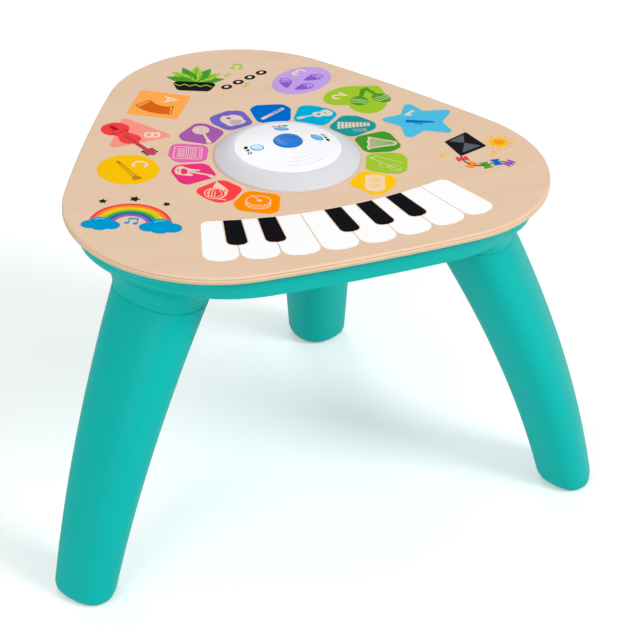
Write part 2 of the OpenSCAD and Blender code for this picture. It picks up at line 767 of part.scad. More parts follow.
module touch_film() {
    color([0.85, 0.62, 0.25]) translate([0, 0, panel_z - film_t]) difference() {
        linear_extrude(film_t) polygon(outline(film_inset));
        translate([0, 0, -slop]) cylinder(r = clamp_r + 1, h = film_t + 2 * slop);
        for (p = post_spots) translate([p[0], p[1], -slop]) cylinder(r = post_r + 1, h = film_t + 2 * slop);
    }
}

module film_ribbon() {
    z = board_z + pcb_t + plug_h;
    color([0.9, 0.7, 0.35]) at_board() translate([film_plug[0], film_plug[1], z])
        box(16, film_t, panel_z - film_t - z);
}

module main_board() {
    color([0.10, 0.42, 0.22]) at_board() difference() {
        translate([0, 0, board_z]) box(board_w, board_d, pcb_t);
        board_corners() translate([0, 0, board_z - slop])
            cylinder(r = small_screw[0] + 0.2, h = pcb_t + 2 * slop);
    }
}

module board_parts() {
    color([0.16, 0.16, 0.18]) at_board() translate([0, 0, board_z + pcb_t]) {
        translate([4, 2, 0]) box(12, 12, 1.6);
        translate([18, -4, 0]) box(8, 10, 1.4);
        for (y = [-6, 3]) translate([-20, y, 0]) cylinder(r = 2.6, h = 7);
        for (p = plug_spots) translate([p[0], p[1], 0]) box(6, 8, plug_h);
        translate([film_plug[0], film_plug[1], 0]) box(18, 4, plug_h);
    }
}

module board_screws() {
    color([0.75, 0.76, 0.78]) at_board() board_corners() translate([0, 0, board_z + pcb_t])
        rotate([180, 0, 0]) screw(small_screw, 5);
}

// ---------- speaker ----------

gasket_t = 1;
basket_h = 7;
module speaker_gasket() {
    color([0.2, 0.2, 0.2]) at_speaker() tube(speaker_r - 0.5, speaker_r - 5, gasket_t);
}

module speaker_frame() {
    z = gasket_t;
    f = speaker_flange_z;
    color([0.35, 0.36, 0.38]) at_speaker() rotate_extrude() polygon([
        [speaker_r, z], [speaker_r, f], [speaker_r - 4, f], [speaker_r * 0.5, f + basket_h],
            [4, f + basket_h],
        [4, f + basket_h - 1.2], [speaker_r * 0.5 - 0.8, f + basket_h - 1.2], [speaker_r - 5, z + 0.4],
            [speaker_r - 5, z]]);
}

module speaker_cone() {
    z = gasket_t;
    color([0.12, 0.12, 0.13]) at_speaker() rotate_extrude() polygon([
        [0, z + 3.2], [6, z + 2.6], [speaker_r - 6.4, z + 0.1], [speaker_r - 5.1, z + 0.1],
        [speaker_r - 5.9, z + 0.8],
        [8, z + 4], [7.2, z + 5.2], [6.4, z + 5.2], [6.2, z + 3.7], [0, z + 4]]);
}

module speaker_magnet() {
    color([0.6, 0.61, 0.63]) at_speaker() translate([0, 0, speaker_flange_z + basket_h])
        cylinder(r = speaker_r * 0.5, h = 4.5);
}

module speaker_screws() {
    color([0.75, 0.76, 0.78]) at_speaker() ring_place(speaker_screw_r, [30, 150, 270])
        translate([0, 0, speaker_flange_z]) rotate([180, 0, 0])
            screw([small_screw[0], 3.9, small_screw[2]], 3.8);
}

// ---------- battery bay ----------

module battery_box() {
    top = tub_top;
    color([0.16, 0.17, 0.18]) at_bay() difference() {
        union() {
            translate([0, 0, skirt_z + door_t + 0.3])
                box(tub_x + 2 * tub_wall, tub_y + 2 * tub_wall, top - skirt_z - door_t - 0.3);
            translate([0, 0, frame_top])
                box(tub_x + 2 * (tub_wall + tub_fit + frame_bar), tub_y + 2 * tub_wall, tub_flange_t);
        }
        translate([0, 0, skirt_z]) box(tub_x, tub_y, top - tub_wall - skirt_z);
        tub_screw_places() translate([0, 0, frame_top - slop]) cylinder(r = small_screw[0] + 0.2, h = 2);
        for (s = [-1, 1], i = [0 : cells - 1])
            translate([s * (tub_x / 2 + tub_wall / 2), (i - (cells - 1) / 2) * cell_pitch, cell_z])
            box(tub_wall + 1, 1.4, 3);
    }
}

module battery_box_screws() {
    color([0.75, 0.76, 0.78]) at_bay() tub_screw_places() translate([0, 0, frame_top + tub_flange_t])
        rotate([180, 0, 0]) screw(small_screw, tub_screw_l);
}

module cell_places() {
    for (i = [0 : cells - 1]) translate([0, (i - (cells - 1) / 2) * cell_pitch, cell_z])
        rotate(180 * (i % 2)) children();
}

module battery_cells() {
    nub = 1;
    color([0.25, 0.55, 0.30]) at_bay() cell_places() rotate([0, 90, 0]) {
        translate([0, 0, -cell_l / 2]) cylinder(r = cell_r - 0.1, h = cell_l - nub);
        translate([0, 0, cell_l / 2 - nub - slop]) cylinder(r = 2.6, h = nub);
    }
}

module battery_contacts() {
    t = 0.5;
    color([0.8, 0.8, 0.82]) at_bay() cell_places() {
        translate([tub_x / 2 - t / 2, 0, -4]) box(t, 9, 8);
        translate([tub_x / 2 - contact_gap + 0.1, 0, 0]) rotate([0, 90, 0])
            cylinder(r = 1.5, h = contact_gap - t);
        translate([-tub_x / 2 + t / 2, 0, -4]) box(t, 9, 8);
        translate([-tub_x / 2 + t, 0, 0]) rotate([0, 90, 0])
            cylinder(r1 = 4.2, r2 = 2.2, h = contact_gap - t - 0.1);
    }
}

module battery_door() {
    color([0.09, 0.60, 0.56]) at_bay() difference() {
        union() {
            translate([hinge_x, 0, hinge_z]) rotate([90, 0, 0])
                cylinder(r = door_t / 2, h = door_y, center = true);
            translate([hinge_x, 0, hinge_z]) rotate([90, 0, 0])
                cylinder(r = hinge_pin_r, h = door_y + 2 * hinge_pin_l, center = true);
            translate([0, 0, skirt_z]) linear_extrude(door_t) intersection() {
                door_shape(0);
                translate([hinge_x, -door_y]) square(2 * door_y);
            }
        }
        translate([lug_x, 0, skirt_z - slop]) cylinder(r = door_screw[0] + 0.15, h = door_t + 2 * slop);
        translate([lug_x, 0, skirt_z - slop]) cylinder(r = door_screw[1] + 0.2, h = door_screw[2] + slop);
        for (i = [-2 : 2]) translate([door_x / 4, i * 5, skirt_z - slop]) box(12, 1.6, 0.8);
    }
}

module battery_door_screw() {
    color([0.75, 0.76, 0.78]) at_bay() translate([lug_x, 0, skirt_z + door_screw[2]])
        screw(door_screw, door_screw_l);
}

// ---------- volume switch ----------

switch_body_h = 5;
module volume_switch() {
    color([0.25, 0.26, 0.28]) at_switch() difference() {
        translate([0, 0, switch_z]) {
            box(16, 8, switch_body_h);
            box(2 * switch_ear + 5, 5.6, 1.2);
        }
        translate([0, 0, switch_z - slop]) box(knob_travel + 2.2 + 2 * gap, 2.2 + 2 * gap, 2);
        for (s = [-1, 1]) translate([s * switch_ear, 0, switch_z - slop])
            cylinder(r = tiny_screw[0] + 0.15, h = 2);
    }
}

module volume_knob() {
    color([0.95, 0.95, 0.95]) at_switch() translate([-knob_travel / 2, 0, 0]) {
        translate([0, 0, skirt_z - knob_out]) box(knob_w, knob_d, knob_out + wall + gap + 0.5);
        translate([0, 0, floor_z + gap]) box(11, 7, 1.2);
        translate([0, 0, floor_z + gap]) box(2.2, 2.2, switch_z + 1.4 - floor_z - gap);
    }
}

module switch_screws() {
    color([0.75, 0.76, 0.78]) at_switch() for (s = [-1, 1]) translate([s * switch_ear, 0, switch_z + 1.2])
        rotate([180, 0, 0]) screw(tiny_screw, 5);
}

// ---------- wires ----------

wire_r = 1.1;
wire_sides = 8;
// Routes of the leads, in heights above the play surface
battery_route = [[-29.85, -88, -17], [-34, -88, -17], [-41, -80, -18], [-44, -60, -21], [-42, -30, -22],
    [-41, 0, -22], [-41, 30, -22], [-44, 60, -21], [-50, 78, -18], [-50, 86, -16.9], [-50, 90, -16.9]];
speaker_route = [[-74, 63, -24], [-74, 63, -20.5], [-73, 70, -18], [-70, 80, -17], [-68, 86, -16.9],
    [-68, 90, -16.9]];
console_route = [[-18, 4, 1], [-18, 4, -4], [-19, 10, -11], [-22, 24, -18], [-27, 48, -21],
    [-31, 70, -19], [-32, 84, -16.9], [-32, 90, -16.9]];
switch_route = [[-16, 170, -18], [-20, 170, -18], [-26, 166, -17], [-31, 158, -17], [-32, 150, -16.9],
    [-32, 146, -16.9]];

module wire(route) {
    n = len(route);
    function unit(v) = v / norm(v);
    dirs = [for (i = [0 : n - 1]) unit(route[min(i + 1, n - 1)] - route[max(i - 1, 0)])];
    at_top() loft_any([for (i = [0 : n - 1])
        let (d = dirs[i], side = unit(cross(d, [0.21, 0.13, 0.97])), up = cross(side, d))
        [for (k = [0 : wire_sides - 1]) route[i] + wire_r
            * (cos(360 * k / wire_sides) * side + sin(360 * k / wire_sides) * up)]]);
}

// Solid through rings that turn in space
module loft_any(rings) {
    n = len(rings[0]);
    m = len(rings);
    polyhedron(
        points = [for (r = rings) each r],
        faces = concat(
            [[for (i = [n - 1 : -1 : 0]) i]],
            [[for (i = [0 : n - 1]) (m - 1) * n + i]],
            [for (j = [0 : m - 2], i = [0 : n - 1])
                [j * n + i, (j + 1) * n + (i + 1) % n, (j + 1) * n + i]],
            [for (j = [0 : m - 2], i = [0 : n - 1])
                [j * n + i, j * n + (i + 1) % n, (j + 1) * n + (i + 1) % n]]));
}

module battery_wires() { color([0.8, 0.1, 0.1]) wire(battery_route); }
module speaker_wires() { color([0.15, 0.15, 0.15]) wire(speaker_route); }
module console_wires() { color([0.9, 0.9, 0.85]) wire(console_route); }
module switch_wires() { color([0.2, 0.3, 0.7]) wire(switch_route); }

// ---------- parts ----------

module placed() { translate([0, axis_y, 0]) children(); }

placed() top_panel();
placed() white_key_prints();
placed() black_key_prints();
placed() instrument_pad_prints();
placed() shape_prints();
placed() base_housing();
placed() leg_left();
placed() leg_right();
placed() leg_rear();
placed() console_ring();
placed() console_dome();
placed() mode_button();
placed() button_spring();
placed() indicator_lenses();
placed() console_board();
placed() tact_switch();
placed() indicator_leds();
placed() console_board_screws();
placed() console_clamp();
placed() console_clamp_screws();
placed() touch_film();
placed() film_ribbon();
placed() main_board();
placed() board_parts();
placed() board_screws();
placed() speaker_gasket();
placed() speaker_frame();
placed() speaker_cone();
placed() speaker_magnet();
placed() speaker_screws();
placed() battery_box();
placed() battery_cells();
placed() battery_contacts();
placed() battery_box_screws();
placed() battery_door();
placed() battery_door_screw();
placed() volume_switch();
placed() volume_knob();
placed() switch_screws();
placed() housing_screws();
placed() battery_wires();
placed() speaker_wires();
placed() console_wires();
placed() switch_wires();
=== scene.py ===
"""Musical activity table: materials, printed artwork, light and camera, in the row frame (metres)."""
import math

import json

import bpy
from mathutils import Matrix, Vector
from mathutils.geometry import tessellate_polygon

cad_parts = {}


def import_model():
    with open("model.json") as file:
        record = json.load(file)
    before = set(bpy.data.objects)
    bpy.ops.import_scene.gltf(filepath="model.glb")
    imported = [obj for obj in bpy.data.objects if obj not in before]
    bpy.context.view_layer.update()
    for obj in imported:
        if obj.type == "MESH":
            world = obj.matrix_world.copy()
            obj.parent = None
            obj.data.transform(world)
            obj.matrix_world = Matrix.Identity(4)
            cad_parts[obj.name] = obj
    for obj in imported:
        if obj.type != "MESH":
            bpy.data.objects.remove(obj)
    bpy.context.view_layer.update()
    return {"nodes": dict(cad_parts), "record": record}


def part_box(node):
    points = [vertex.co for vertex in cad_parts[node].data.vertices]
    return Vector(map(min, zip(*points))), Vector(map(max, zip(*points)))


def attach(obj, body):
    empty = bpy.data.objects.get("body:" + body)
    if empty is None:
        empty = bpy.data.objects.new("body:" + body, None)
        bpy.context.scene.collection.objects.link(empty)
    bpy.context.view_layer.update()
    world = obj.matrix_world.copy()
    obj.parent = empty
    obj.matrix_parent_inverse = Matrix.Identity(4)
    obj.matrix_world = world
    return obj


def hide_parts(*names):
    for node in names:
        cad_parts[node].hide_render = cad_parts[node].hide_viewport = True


MM = 0.001

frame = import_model()
nodes = frame["nodes"]

panel_low, panel_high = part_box("top_panel")
ring_low, ring_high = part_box("console_ring")
TOP = panel_high.z
AXIS = Vector(((ring_low.x + ring_high.x) / 2, (ring_low.y + ring_high.y) / 2, TOP))


# ---------- materials ----------

def srgb(r, g, b):
    """Linear colour of an sRGB colour written 0 to 255."""
    def linear(c):
        c /= 255
        return c / 12.92 if c <= 0.04045 else ((c + 0.055) / 1.055) ** 2.4
    return (linear(r), linear(g), linear(b), 1)


def shade(colour, k):
    """The colour made lighter (k over 1) or darker."""
    return tuple(min(1, c * k) for c in colour[:3]) + (1,)


class Look:
    """A material under construction: nodes are added by name and wired with link()."""

    def __init__(self, name):
        self.material = bpy.data.materials.new(name)
        self.material.use_nodes = True
        self.tree = self.material.node_tree
        self.shader = self.tree.nodes["Principled BSDF"]
        self.place = self.add("ShaderNodeTexCoord").outputs["Object"]

    def add(self, kind, **settings):
        """A new shader node with the settings given."""
        node = self.tree.nodes.new(kind)
        for key, value in settings.items():
            setattr(node, key, value)
        return node

    def link(self, a, b):
        self.tree.links.new(a, b)

    def noise(self, scale, detail=3.0, stretch=(1, 1, 1)):
        """Noise with about scale features a metre, stretched along the axes."""
        mapping = self.add("ShaderNodeMapping")
        mapping.inputs["Scale"].default_value = tuple(scale * s for s in stretch)
        texture = self.add("ShaderNodeTexNoise")
        texture.inputs["Scale"].default_value = 1
        texture.inputs["Detail"].default_value = detail
        self.link(self.place, mapping.inputs["Vector"])
        self.link(mapping.outputs["Vector"], texture.inputs["Vector"])
        return texture.outputs["Fac"]

    def spread(self, fac, low, high, start=0.3, end=0.7):
        """A number that runs from low to high as fac runs from start to end."""
        node = self.add("ShaderNodeMapRange")
        for key, value in (("From Min", start), ("From Max", end), ("To Min", low), ("To Max", high)):
            node.inputs[key].default_value = value
        self.link(fac, node.inputs["Value"])
        return node.outputs["Result"]

    def blend(self, fac, a, b):
        """Colour a to colour b by fac; each may be a colour or a socket."""
        node = self.add("ShaderNodeMix", data_type="RGBA")
        for value, socket in ((a, node.inputs[6]), (b, node.inputs[7])):
            if isinstance(value, tuple):
                socket.default_value = value
            else:
                self.link(value, socket)
        self.link(fac, node.inputs[0])
        return node.outputs[2]

    def bump(self, fac, depth_mm):
        """Relief of the depth given, where fac runs from 0 to 1."""
        node = self.add("ShaderNodeBump")
        node.inputs["Strength"].default_value = 1
        node.inputs["Distance"].default_value = depth_mm * MM
        self.link(fac, node.inputs["Height"])
        self.link(node.outputs["Normal"], self.shader.inputs["Normal"])

    def put(self, **values):
        """Sets inputs of the main shader, each to a constant or from a socket."""
        for key, value in values.items():
            socket = self.shader.inputs[key.replace("_", " ").title().replace("Ior", "IOR")]
            if isinstance(value, bpy.types.NodeSocket):
                self.link(value, socket)
            else:
                socket.default_value = value


def plastic(name, colour, rough=0.35, variation=0.03, pebble=700, pebble_mm=0.01, coat=0.0, gloss=0.4):
    """Moulded plastic: faint cloudiness, fine pebble and slightly uneven gloss."""
    look = Look(name)
    cloud = look.noise(9, 4)
    fine = look.noise(pebble, 2)
    tint = look.blend(look.spread(cloud, 0, 1), shade(colour, 1 - variation), shade(colour, 1 + variation))
    look.put(base_color=tint, roughness=look.spread(look.noise(60, 4), rough - 0.03, rough + 0.04))
    look.put(coat_weight=coat, coat_roughness=0.08, specular_ior_level=gloss)
    look.bump(fine, pebble_mm)
    return look.material


def ink(name, colour, rough=0.6, variation=0.02):
    """Screen-printed ink on wood: even colour, a faint mottle, matte."""
    look = Look(name)
    mottle = look.noise(40, 4)
    tint = look.blend(look.spread(mottle, 0, 1), shade(colour, 1 - variation), shade(colour, 1 + variation))
    look.put(base_color=tint, roughness=look.spread(look.noise(300, 3), rough - 0.05, rough + 0.05))
    look.put(specular_ior_level=0.0)
    look.bump(look.noise(700, 3), 0.006)
    return look.material


def plywood(name):
    """Birch plywood: soft straight grain on the face, pale and darker plies on the edge."""
    look = Look(name)
    broad = look.noise(5, 5, (1, 9, 9))
    fibre = look.noise(30, 6, (1, 26, 26))
    pores = look.noise(120, 2, (1, 14, 14))
    face = look.blend(look.spread(broad, 0, 1), WOOD_DEEP, WOOD_FACE)
    face = look.blend(look.spread(fibre, 0, 0.5), face, WOOD_LIGHT)
    face = look.blend(look.spread(pores, 0, 0.12, 0.62, 0.75), face, WOOD_PORE)
    height = look.add("ShaderNodeSeparateXYZ")
    look.link(look.place, height.inputs[0])
    wobble = look.add("ShaderNodeMath", operation="MULTIPLY_ADD")
    look.link(look.noise(18, 3), wobble.inputs[0])
    wobble.inputs[1].default_value = 0.5 * MM
    look.link(height.outputs["Z"], wobble.inputs[2])
    plies = look.add("ShaderNodeValToRGB")
    ramp = plies.color_ramp
    ramp.interpolation = "B_SPLINE"
    ramp.elements[0].color = PLY_LIGHT
    ramp.elements[1].color = PLY_LIGHT
    ramp.elements[1].position = 1
    for k in range(1, 10):
        stop = ramp.elements.new(k / 10)
        stop.color = PLY_DARK if k in (3, 7) else PLY_LIGHT
    look.link(look.spread(wobble.outputs[0], 0, 1, panel_low.z, panel_high.z), plies.inputs[0])
    edge_grain = look.blend(look.spread(look.noise(80, 4, (1, 1, 4)), 0, 0.35), plies.outputs[0], PLY_LIGHT)
    facing = look.add("ShaderNodeNewGeometry")
    parts = look.add("ShaderNodeSeparateXYZ")
    look.link(facing.outputs["Normal"], parts.inputs[0])
    steep = look.add("ShaderNodeMath", operation="ABSOLUTE")
    look.link(parts.outputs["Z"], steep.inputs[0])
    look.put(base_color=look.blend(look.spread(steep.outputs[0], 0, 1, 0.55, 0.8), edge_grain, face))
    look.put(roughness=look.spread(fibre, 0.5, 0.62), specular_ior_level=0.15)
    look.bump(fibre, 0.03)
    return look.material


def metal(name, colour, rough):
    """Plated metal with fine turning marks."""
    look = Look(name)
    marks = look.noise(2500, 2, (1, 1, 0.1))
    look.put(base_color=look.blend(look.spread(marks, 0, 1), shade(colour, 0.92), colour), metallic=1.0)
    look.put(roughness=look.spread(marks, rough - 0.05, rough + 0.08))
    look.bump(marks, 0.004)
    return look.material


def lens(name, colour):
    """Tinted clear lens over a small lamp, with a faint painted glow that brightens it."""
    look = Look(name)
    swirl = look.noise(160, 2)
    look.put(base_color=look.blend(look.spread(swirl, 0, 1), shade(colour, 0.8), shade(colour, 1.15)))
    look.put(roughness=look.spread(look.noise(900, 2), 0.08, 0.16), coat_weight=0.6)
    # painted glow: a faint emission in the lens's own colour makes the lens look brighter
    look.put(emission_color=colour, emission_strength=0.15)
    return look.material


WOOD_FACE = srgb(228, 197, 168)
WOOD_DEEP = srgb(223, 190, 160)
WOOD_LIGHT = srgb(232, 203, 175)
WOOD_PORE = srgb(206, 169, 136)
PLY_LIGHT = srgb(234, 204, 171)
PLY_DARK = srgb(186, 144, 108)
CREAM = srgb(240, 214, 188)

TEAL = plastic("teal_plastic", srgb(0, 181, 173), 0.42, 0.015, 500, 0.008, gloss=0.12)
WOOD = plywood("birch_plywood")
WHITE = plastic("white_plastic", srgb(246, 247, 250), 0.35, 0.004, 900, 0.003, gloss=0.2)
GREY = plastic("grey_plastic", srgb(216, 218, 223), 0.45, 0.01, 900, 0.004, gloss=0.2)
BLUE = plastic("blue_plastic", srgb(0, 116, 208), 0.3, 0.02, 900, 0.003, coat=0.06, gloss=0.15)
DARK = plastic("dark_plastic", srgb(45, 46, 50), 0.5, 0.05)
SILICONE = plastic("silicone", srgb(225, 225, 220), 0.55, 0.03)
BOARD = plastic("circuit_board", srgb(30, 110, 60), 0.35, 0.08, 300, 0.02)
FILM = plastic("film", srgb(214, 160, 70), 0.3, 0.05)
PAPER = plastic("paper_cone", srgb(36, 36, 38), 0.8, 0.1, 1500, 0.03)
FOAM = plastic("foam", srgb(50, 50, 50), 0.9, 0.1, 2500, 0.05)
CELL = plastic("cell_label", srgb(60, 140, 75), 0.3, 0.06)
WIRE = plastic("wire_cover", srgb(175, 40, 40), 0.4, 0.05)
STEEL = metal("steel", srgb(190, 192, 196), 0.35)
NICKEL = metal("nickel", srgb(205, 205, 205), 0.25)
LENS = lens("lens", srgb(70, 176, 232))
PAD_WOOD = ink("ink_bare_wood", CREAM)

BY_SLOT = {
    "teal": TEAL, "plywood": WOOD, "white_plastic": WHITE, "grey_plastic": GREY,
    "blue_plastic": BLUE, "lens": LENS, "dark_plastic": DARK, "silicone": SILICONE,
    "circuit_board": BOARD, "film": FILM, "steel": STEEL, "nickel": NICKEL,
    "paper_cone": PAPER, "foam": FOAM, "cell_label": CELL, "wire_cover": WIRE,
}


def dress_nodes():
    """Gives every CAD node the material of its slot; the ink layers are replaced below."""
    for part in frame["record"]["subparts"]:
        look = BY_SLOT.get(part["material_slot"])
        if look:
            mesh = nodes[part["node"]].data
            mesh.materials.clear()
            mesh.materials.append(look)


# ---------- flat outlines, in millimetres ----------

def turned(points, angle, size=1.0, at=(0, 0)):
    """The outline scaled, turned anticlockwise by angle degrees and moved."""
    c, s = math.cos(math.radians(angle)), math.sin(math.radians(angle))
    return [(at[0] + size * (x * c - y * s), at[1] + size * (x * s + y * c)) for x, y in points]


def arc(r, start, end, n=16, at=(0, 0), squash=1.0):
    """Points of an arc from angle start to angle end, flattened by squash."""
    steps = [math.radians(start + (end - start) * i / n) for i in range(n + 1)]
    return [(at[0] + r * math.cos(t), at[1] + r * squash * math.sin(t)) for t in steps]


def oval(rx, ry, at=(0, 0), angle=0, n=40):
    """Outline of an ellipse with the half widths rx and ry."""
    steps = [2 * math.pi * i / n for i in range(n)]
    return turned([(rx * math.cos(t), ry * math.sin(t)) for t in steps], angle, 1, at)


def corner_arc(before, corner, after, radius, n=6):
    """Points of an arc of the radius, or of less where a side is short, in place of one corner."""
    c = Vector(corner)
    a, b = Vector(before) - c, Vector(after) - c
    half = a.angle(b) / 2
    cut = min(radius / math.tan(half), a.length * 0.49, b.length * 0.49)
    p, q, w = c + a.normalized() * cut, c + b.normalized() * cut, math.sin(half)
    out = []
    for k in range(n + 1):
        t = k / n
        u, v = (1 - t) ** 2, 2 * w * t * (1 - t)
        out.append(tuple((u * p + v * c + t * t * q) / (u + v + t * t)))
    return out


def rounded(points, radius, n=6):
    """The polygon with its corners turned into arcs."""
    out = []
    for i, corner in enumerate(points):
        out += corner_arc(points[i - 1], corner, points[(i + 1) % len(points)], radius, n)
    return out


def smooth(points, n=6):
    """Closed smooth curve through the points."""
    out = []
    count = len(points)
    for i in range(count):
        p = [Vector(points[(i + k - 1) % count]) for k in range(4)]
        for k in range(n):
            t = k / n
            out.append(tuple(0.5 * (2 * p[1] + (p[2] - p[0]) * t
                                    + (2 * p[0] - 5 * p[1] + 4 * p[2] - p[3]) * t * t
                                    + (3 * p[1] - p[0] - 3 * p[2] + p[3]) * t ** 3)))
    return out


def area(ring):
    """Twice the signed area inside the ring: positive where it runs anticlockwise."""
    return sum(ring[i - 1][0] * p[1] - p[0] * ring[i - 1][1] for i, p in enumerate(ring))


def mirrored(side):
    """The outline whose right half runs from the axis to the axis, with its left half added."""
    return side + [(-x, y) for x, y in side[-2:0:-1]]


def folded(side):
    """As mirrored(), for an upper half on a level axis."""
    return side + [(x, -y) for x, y in side[-2:0:-1]]


def open_curve(points, n=5):
    """Smooth curve through the points from the first to the last."""
    return smooth(points + points[-2:0:-1], n)[:n * (len(points) - 1) + 1]


def box(w, h, at=(0, 0), angle=0):
    """Outline of a rectangle about its centre."""
    return turned([(-w / 2, -h / 2), (w / 2, -h / 2), (w / 2, h / 2), (-w / 2, h / 2)], angle, 1, at)


def ribbon(points, width, closed=False):
    """Rings of a line of the given width along the points."""
    sides = ([], [])
    count = len(points)
    for i, point in enumerate(points):
        here = Vector(point)
        before = Vector(points[i - 1]) if (i or closed) else here
        after = Vector(points[(i + 1) % count]) if (i < count - 1 or closed) else here
        a = (here - before).normalized() if before != here else (after - here).normalized()
        b = (after - here).normalized() if after != here else a
        mean = (a + b).normalized()
        normal = Vector((-mean.y, mean.x))
        reach = width / 2 / max(0.5, mean.dot(a))
        for side, sign in zip(sides, (1, -1)):
            side.append(tuple(here + sign * reach * normal))
    if closed:
        return [sides[0], sides[1]]
    return [sides[0] + sides[1][::-1]]


INK_LIFT = 0.2          # height of the lowest ink over the surface
LEVEL_STEP = 0.06       # and of each level over the last
LAYER_STEP = 0.0006     # and of each layer over the last one on its level
SLIVER = 1e-9           # triangles smaller than this are left out


class Print:
    """Thin printed layers on the play surface, or on the dome, gathered into one mesh."""

    def __init__(self, name, slot, lift=INK_LIFT):
        self.name, self.slot, self.lift = name, slot, lift
        self.points, self.faces, self.face_slots, self.materials = [], [], [], []
        self.count = 0
        self.height = lambda x, y: 0.0

    def fill(self, material, *rings, level=0):
        """A thin closed layer: the first ring is its outline and the others are holes.

        Each layer of a level lies a hair above the last, so none of them share a plane.
        """
        if material not in self.materials:
            self.materials.append(material)
        self.count += 1
        top = self.lift + LEVEL_STEP * level + LAYER_STEP * self.count
        rings = [ring if (area(ring) > 0) == (k == 0) else ring[::-1]
                 for k, ring in enumerate(rings)]
        rings3 = [[Vector((x, y, 0)) for x, y in ring] for ring in rings]
        flat = [p for ring in rings3 for p in ring]
        start, n = len(self.points), len(flat)
        for z in (top, 0):
            self.points += [AXIS + Vector((p.x, p.y, self.height(p.x, p.y) + z)) * MM for p in flat]
        faces = []
        for a, b, c in tessellate_polygon(rings3):
            turn = (flat[b] - flat[a]).cross(flat[c] - flat[a]).z
            if abs(turn) > SLIVER:
                a, b, c = (a, b, c) if turn > 0 else (a, c, b)
                faces += [(a, b, c), (n + c, n + b, n + a)]
        first = 0
        for ring in rings:
            for i in range(len(ring)):
                a, b = first + i, first + (i + 1) % len(ring)
                faces.append((n + a, n + b, b, a))
            first += len(ring)
        self.faces += [tuple(start + k for k in face) for face in faces]
        self.face_slots += [self.materials.index(material)] * len(faces)

    def line(self, material, points, width, closed=False, level=0):
        """A thin closed layer along the points."""
        self.fill(material, *ribbon(points, width, closed), level=level)

    def finish(self, *replaced):
        """Makes the mesh. It stands in for the CAD nodes named, if any."""
        mesh = bpy.data.meshes.new(self.name)
        mesh.from_pydata(self.points, [], self.faces)
        for material in self.materials:
            mesh.materials.append(material)
        mesh.polygons.foreach_set("material_index", self.face_slots)
        thing = bpy.data.objects.new(self.name, mesh)
        bpy.context.scene.collection.objects.link(thing)
        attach(thing, "table")
        if replaced:
            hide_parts(*replaced)


class Placed:
    """Draws on a print in a local frame: turned and moved, with its own ink and level."""

    def __init__(self, sheet, material, at, angle, size=1.0, level=1):
        self.sheet, self.material = sheet, material
        self.at, self.angle = at, angle
        self.size, self.level = size, level

    def fill(self, *rings, ink=None, up=0):
        moved = [turned(ring, self.angle, self.size, self.at) for ring in rings]
        self.sheet.fill(ink or self.material, *moved, level=self.level + up)

    def line(self, points, width=0.8, closed=False, ink=None, up=0):
        self.fill(*ribbon(points, width, closed), ink=ink, up=up)


# ---------- keyboard ----------

FAN_BACK = 251          # distance from the console axis back to the keys' fan centre
ARC_BACK = 294          # and to the centre of the arcs that the keys end on
KEY_IN, KEY_OUT = 395, 462             # radii of the arcs at the keys' inner and outer ends
KEY_CROWN = 0.7                        # how far a key's outer end bulges past its arc
KEY_STEP, FAN_HALF = 4.86, 19.05       # degrees
KEY_GAP = 1.1
KEY_CORNER = 11         # rounding of the keys' outer corners
KEY_END_CORNER = 8      # and of the two inner corners at the ends of the keyboard
WHITE_KEYS = 8
BLACK_AFTER = (0, 1, 3, 4, 5)
BLACK_W, BLACK_END_W, BLACK_L = 15.6, 18.0, 42
BLACK_CORNER = 6
BLACK_CROWN = 0.8
BLACK_BORDER = 1.0      # bare wood left round a black key


def fan(r, angle):
    """The point where the fan's line at angle meets the arc of radius r."""
    d = ARC_BACK - FAN_BACK
    t = math.radians(angle)
    reach = math.sqrt(r * r - (d * math.sin(t)) ** 2) - d * math.cos(t)
    return (reach * math.sin(t), FAN_BACK - reach * math.cos(t))


def key_edge(i):
    """Angle of the line between white keys i - 1 and i. The end keys are cut short."""
    return max(-FAN_HALF, min(FAN_HALF, (i - WHITE_KEYS / 2) * KEY_STEP))


def white_key(i):
    """Outline of white key i, counted from the left."""
    half_gap = math.degrees(KEY_GAP / 2 / (KEY_IN - ARC_BACK + FAN_BACK))
    a0, a1 = key_edge(i) + half_gap, key_edge(i + 1) - half_gap
    inner = [fan(KEY_IN, a1 + (a0 - a1) * k / 6) for k in range(7)]
    left, right = fan(KEY_OUT, a0), fan(KEY_OUT, a1)
    out = []
    if i == WHITE_KEYS - 1:
        out += corner_arc(right, inner[0], inner[-1], KEY_END_CORNER, 8)
    else:
        out.append(inner[0])
    out += inner[2:-2]
    if i == 0:
        out += corner_arc(inner[0], inner[-1], left, KEY_END_CORNER, 8)
    else:
        out.append(inner[-1])
    out += corner_arc(inner[-1], left, right, KEY_CORNER, 10)
    out.append(fan(KEY_OUT + KEY_CROWN, (a0 + a1) / 2))
    return out + corner_arc(left, right, inner[0], KEY_CORNER, 10)


def black_key(i, grow=0.0):
    """Outline of the black key after white key i, wider toward the player."""
    angle = key_edge(i + 1)
    start = Vector(fan(KEY_IN, angle))
    near, far, end = BLACK_W / 2 + grow, BLACK_END_W / 2 + grow, BLACK_L + grow
    corners = [(-grow, -near), (end, -far), (end + BLACK_CROWN, 0), (end, far), (-grow, near)]
    outline = [corners[0]] + corner_arc(corners[0], corners[1], corners[3], BLACK_CORNER + grow, 8)
    outline += [corners[2]] + corner_arc(corners[1], corners[3], corners[4], BLACK_CORNER + grow, 8)
    return turned(outline + [corners[4]], -90 + angle, 1, start)


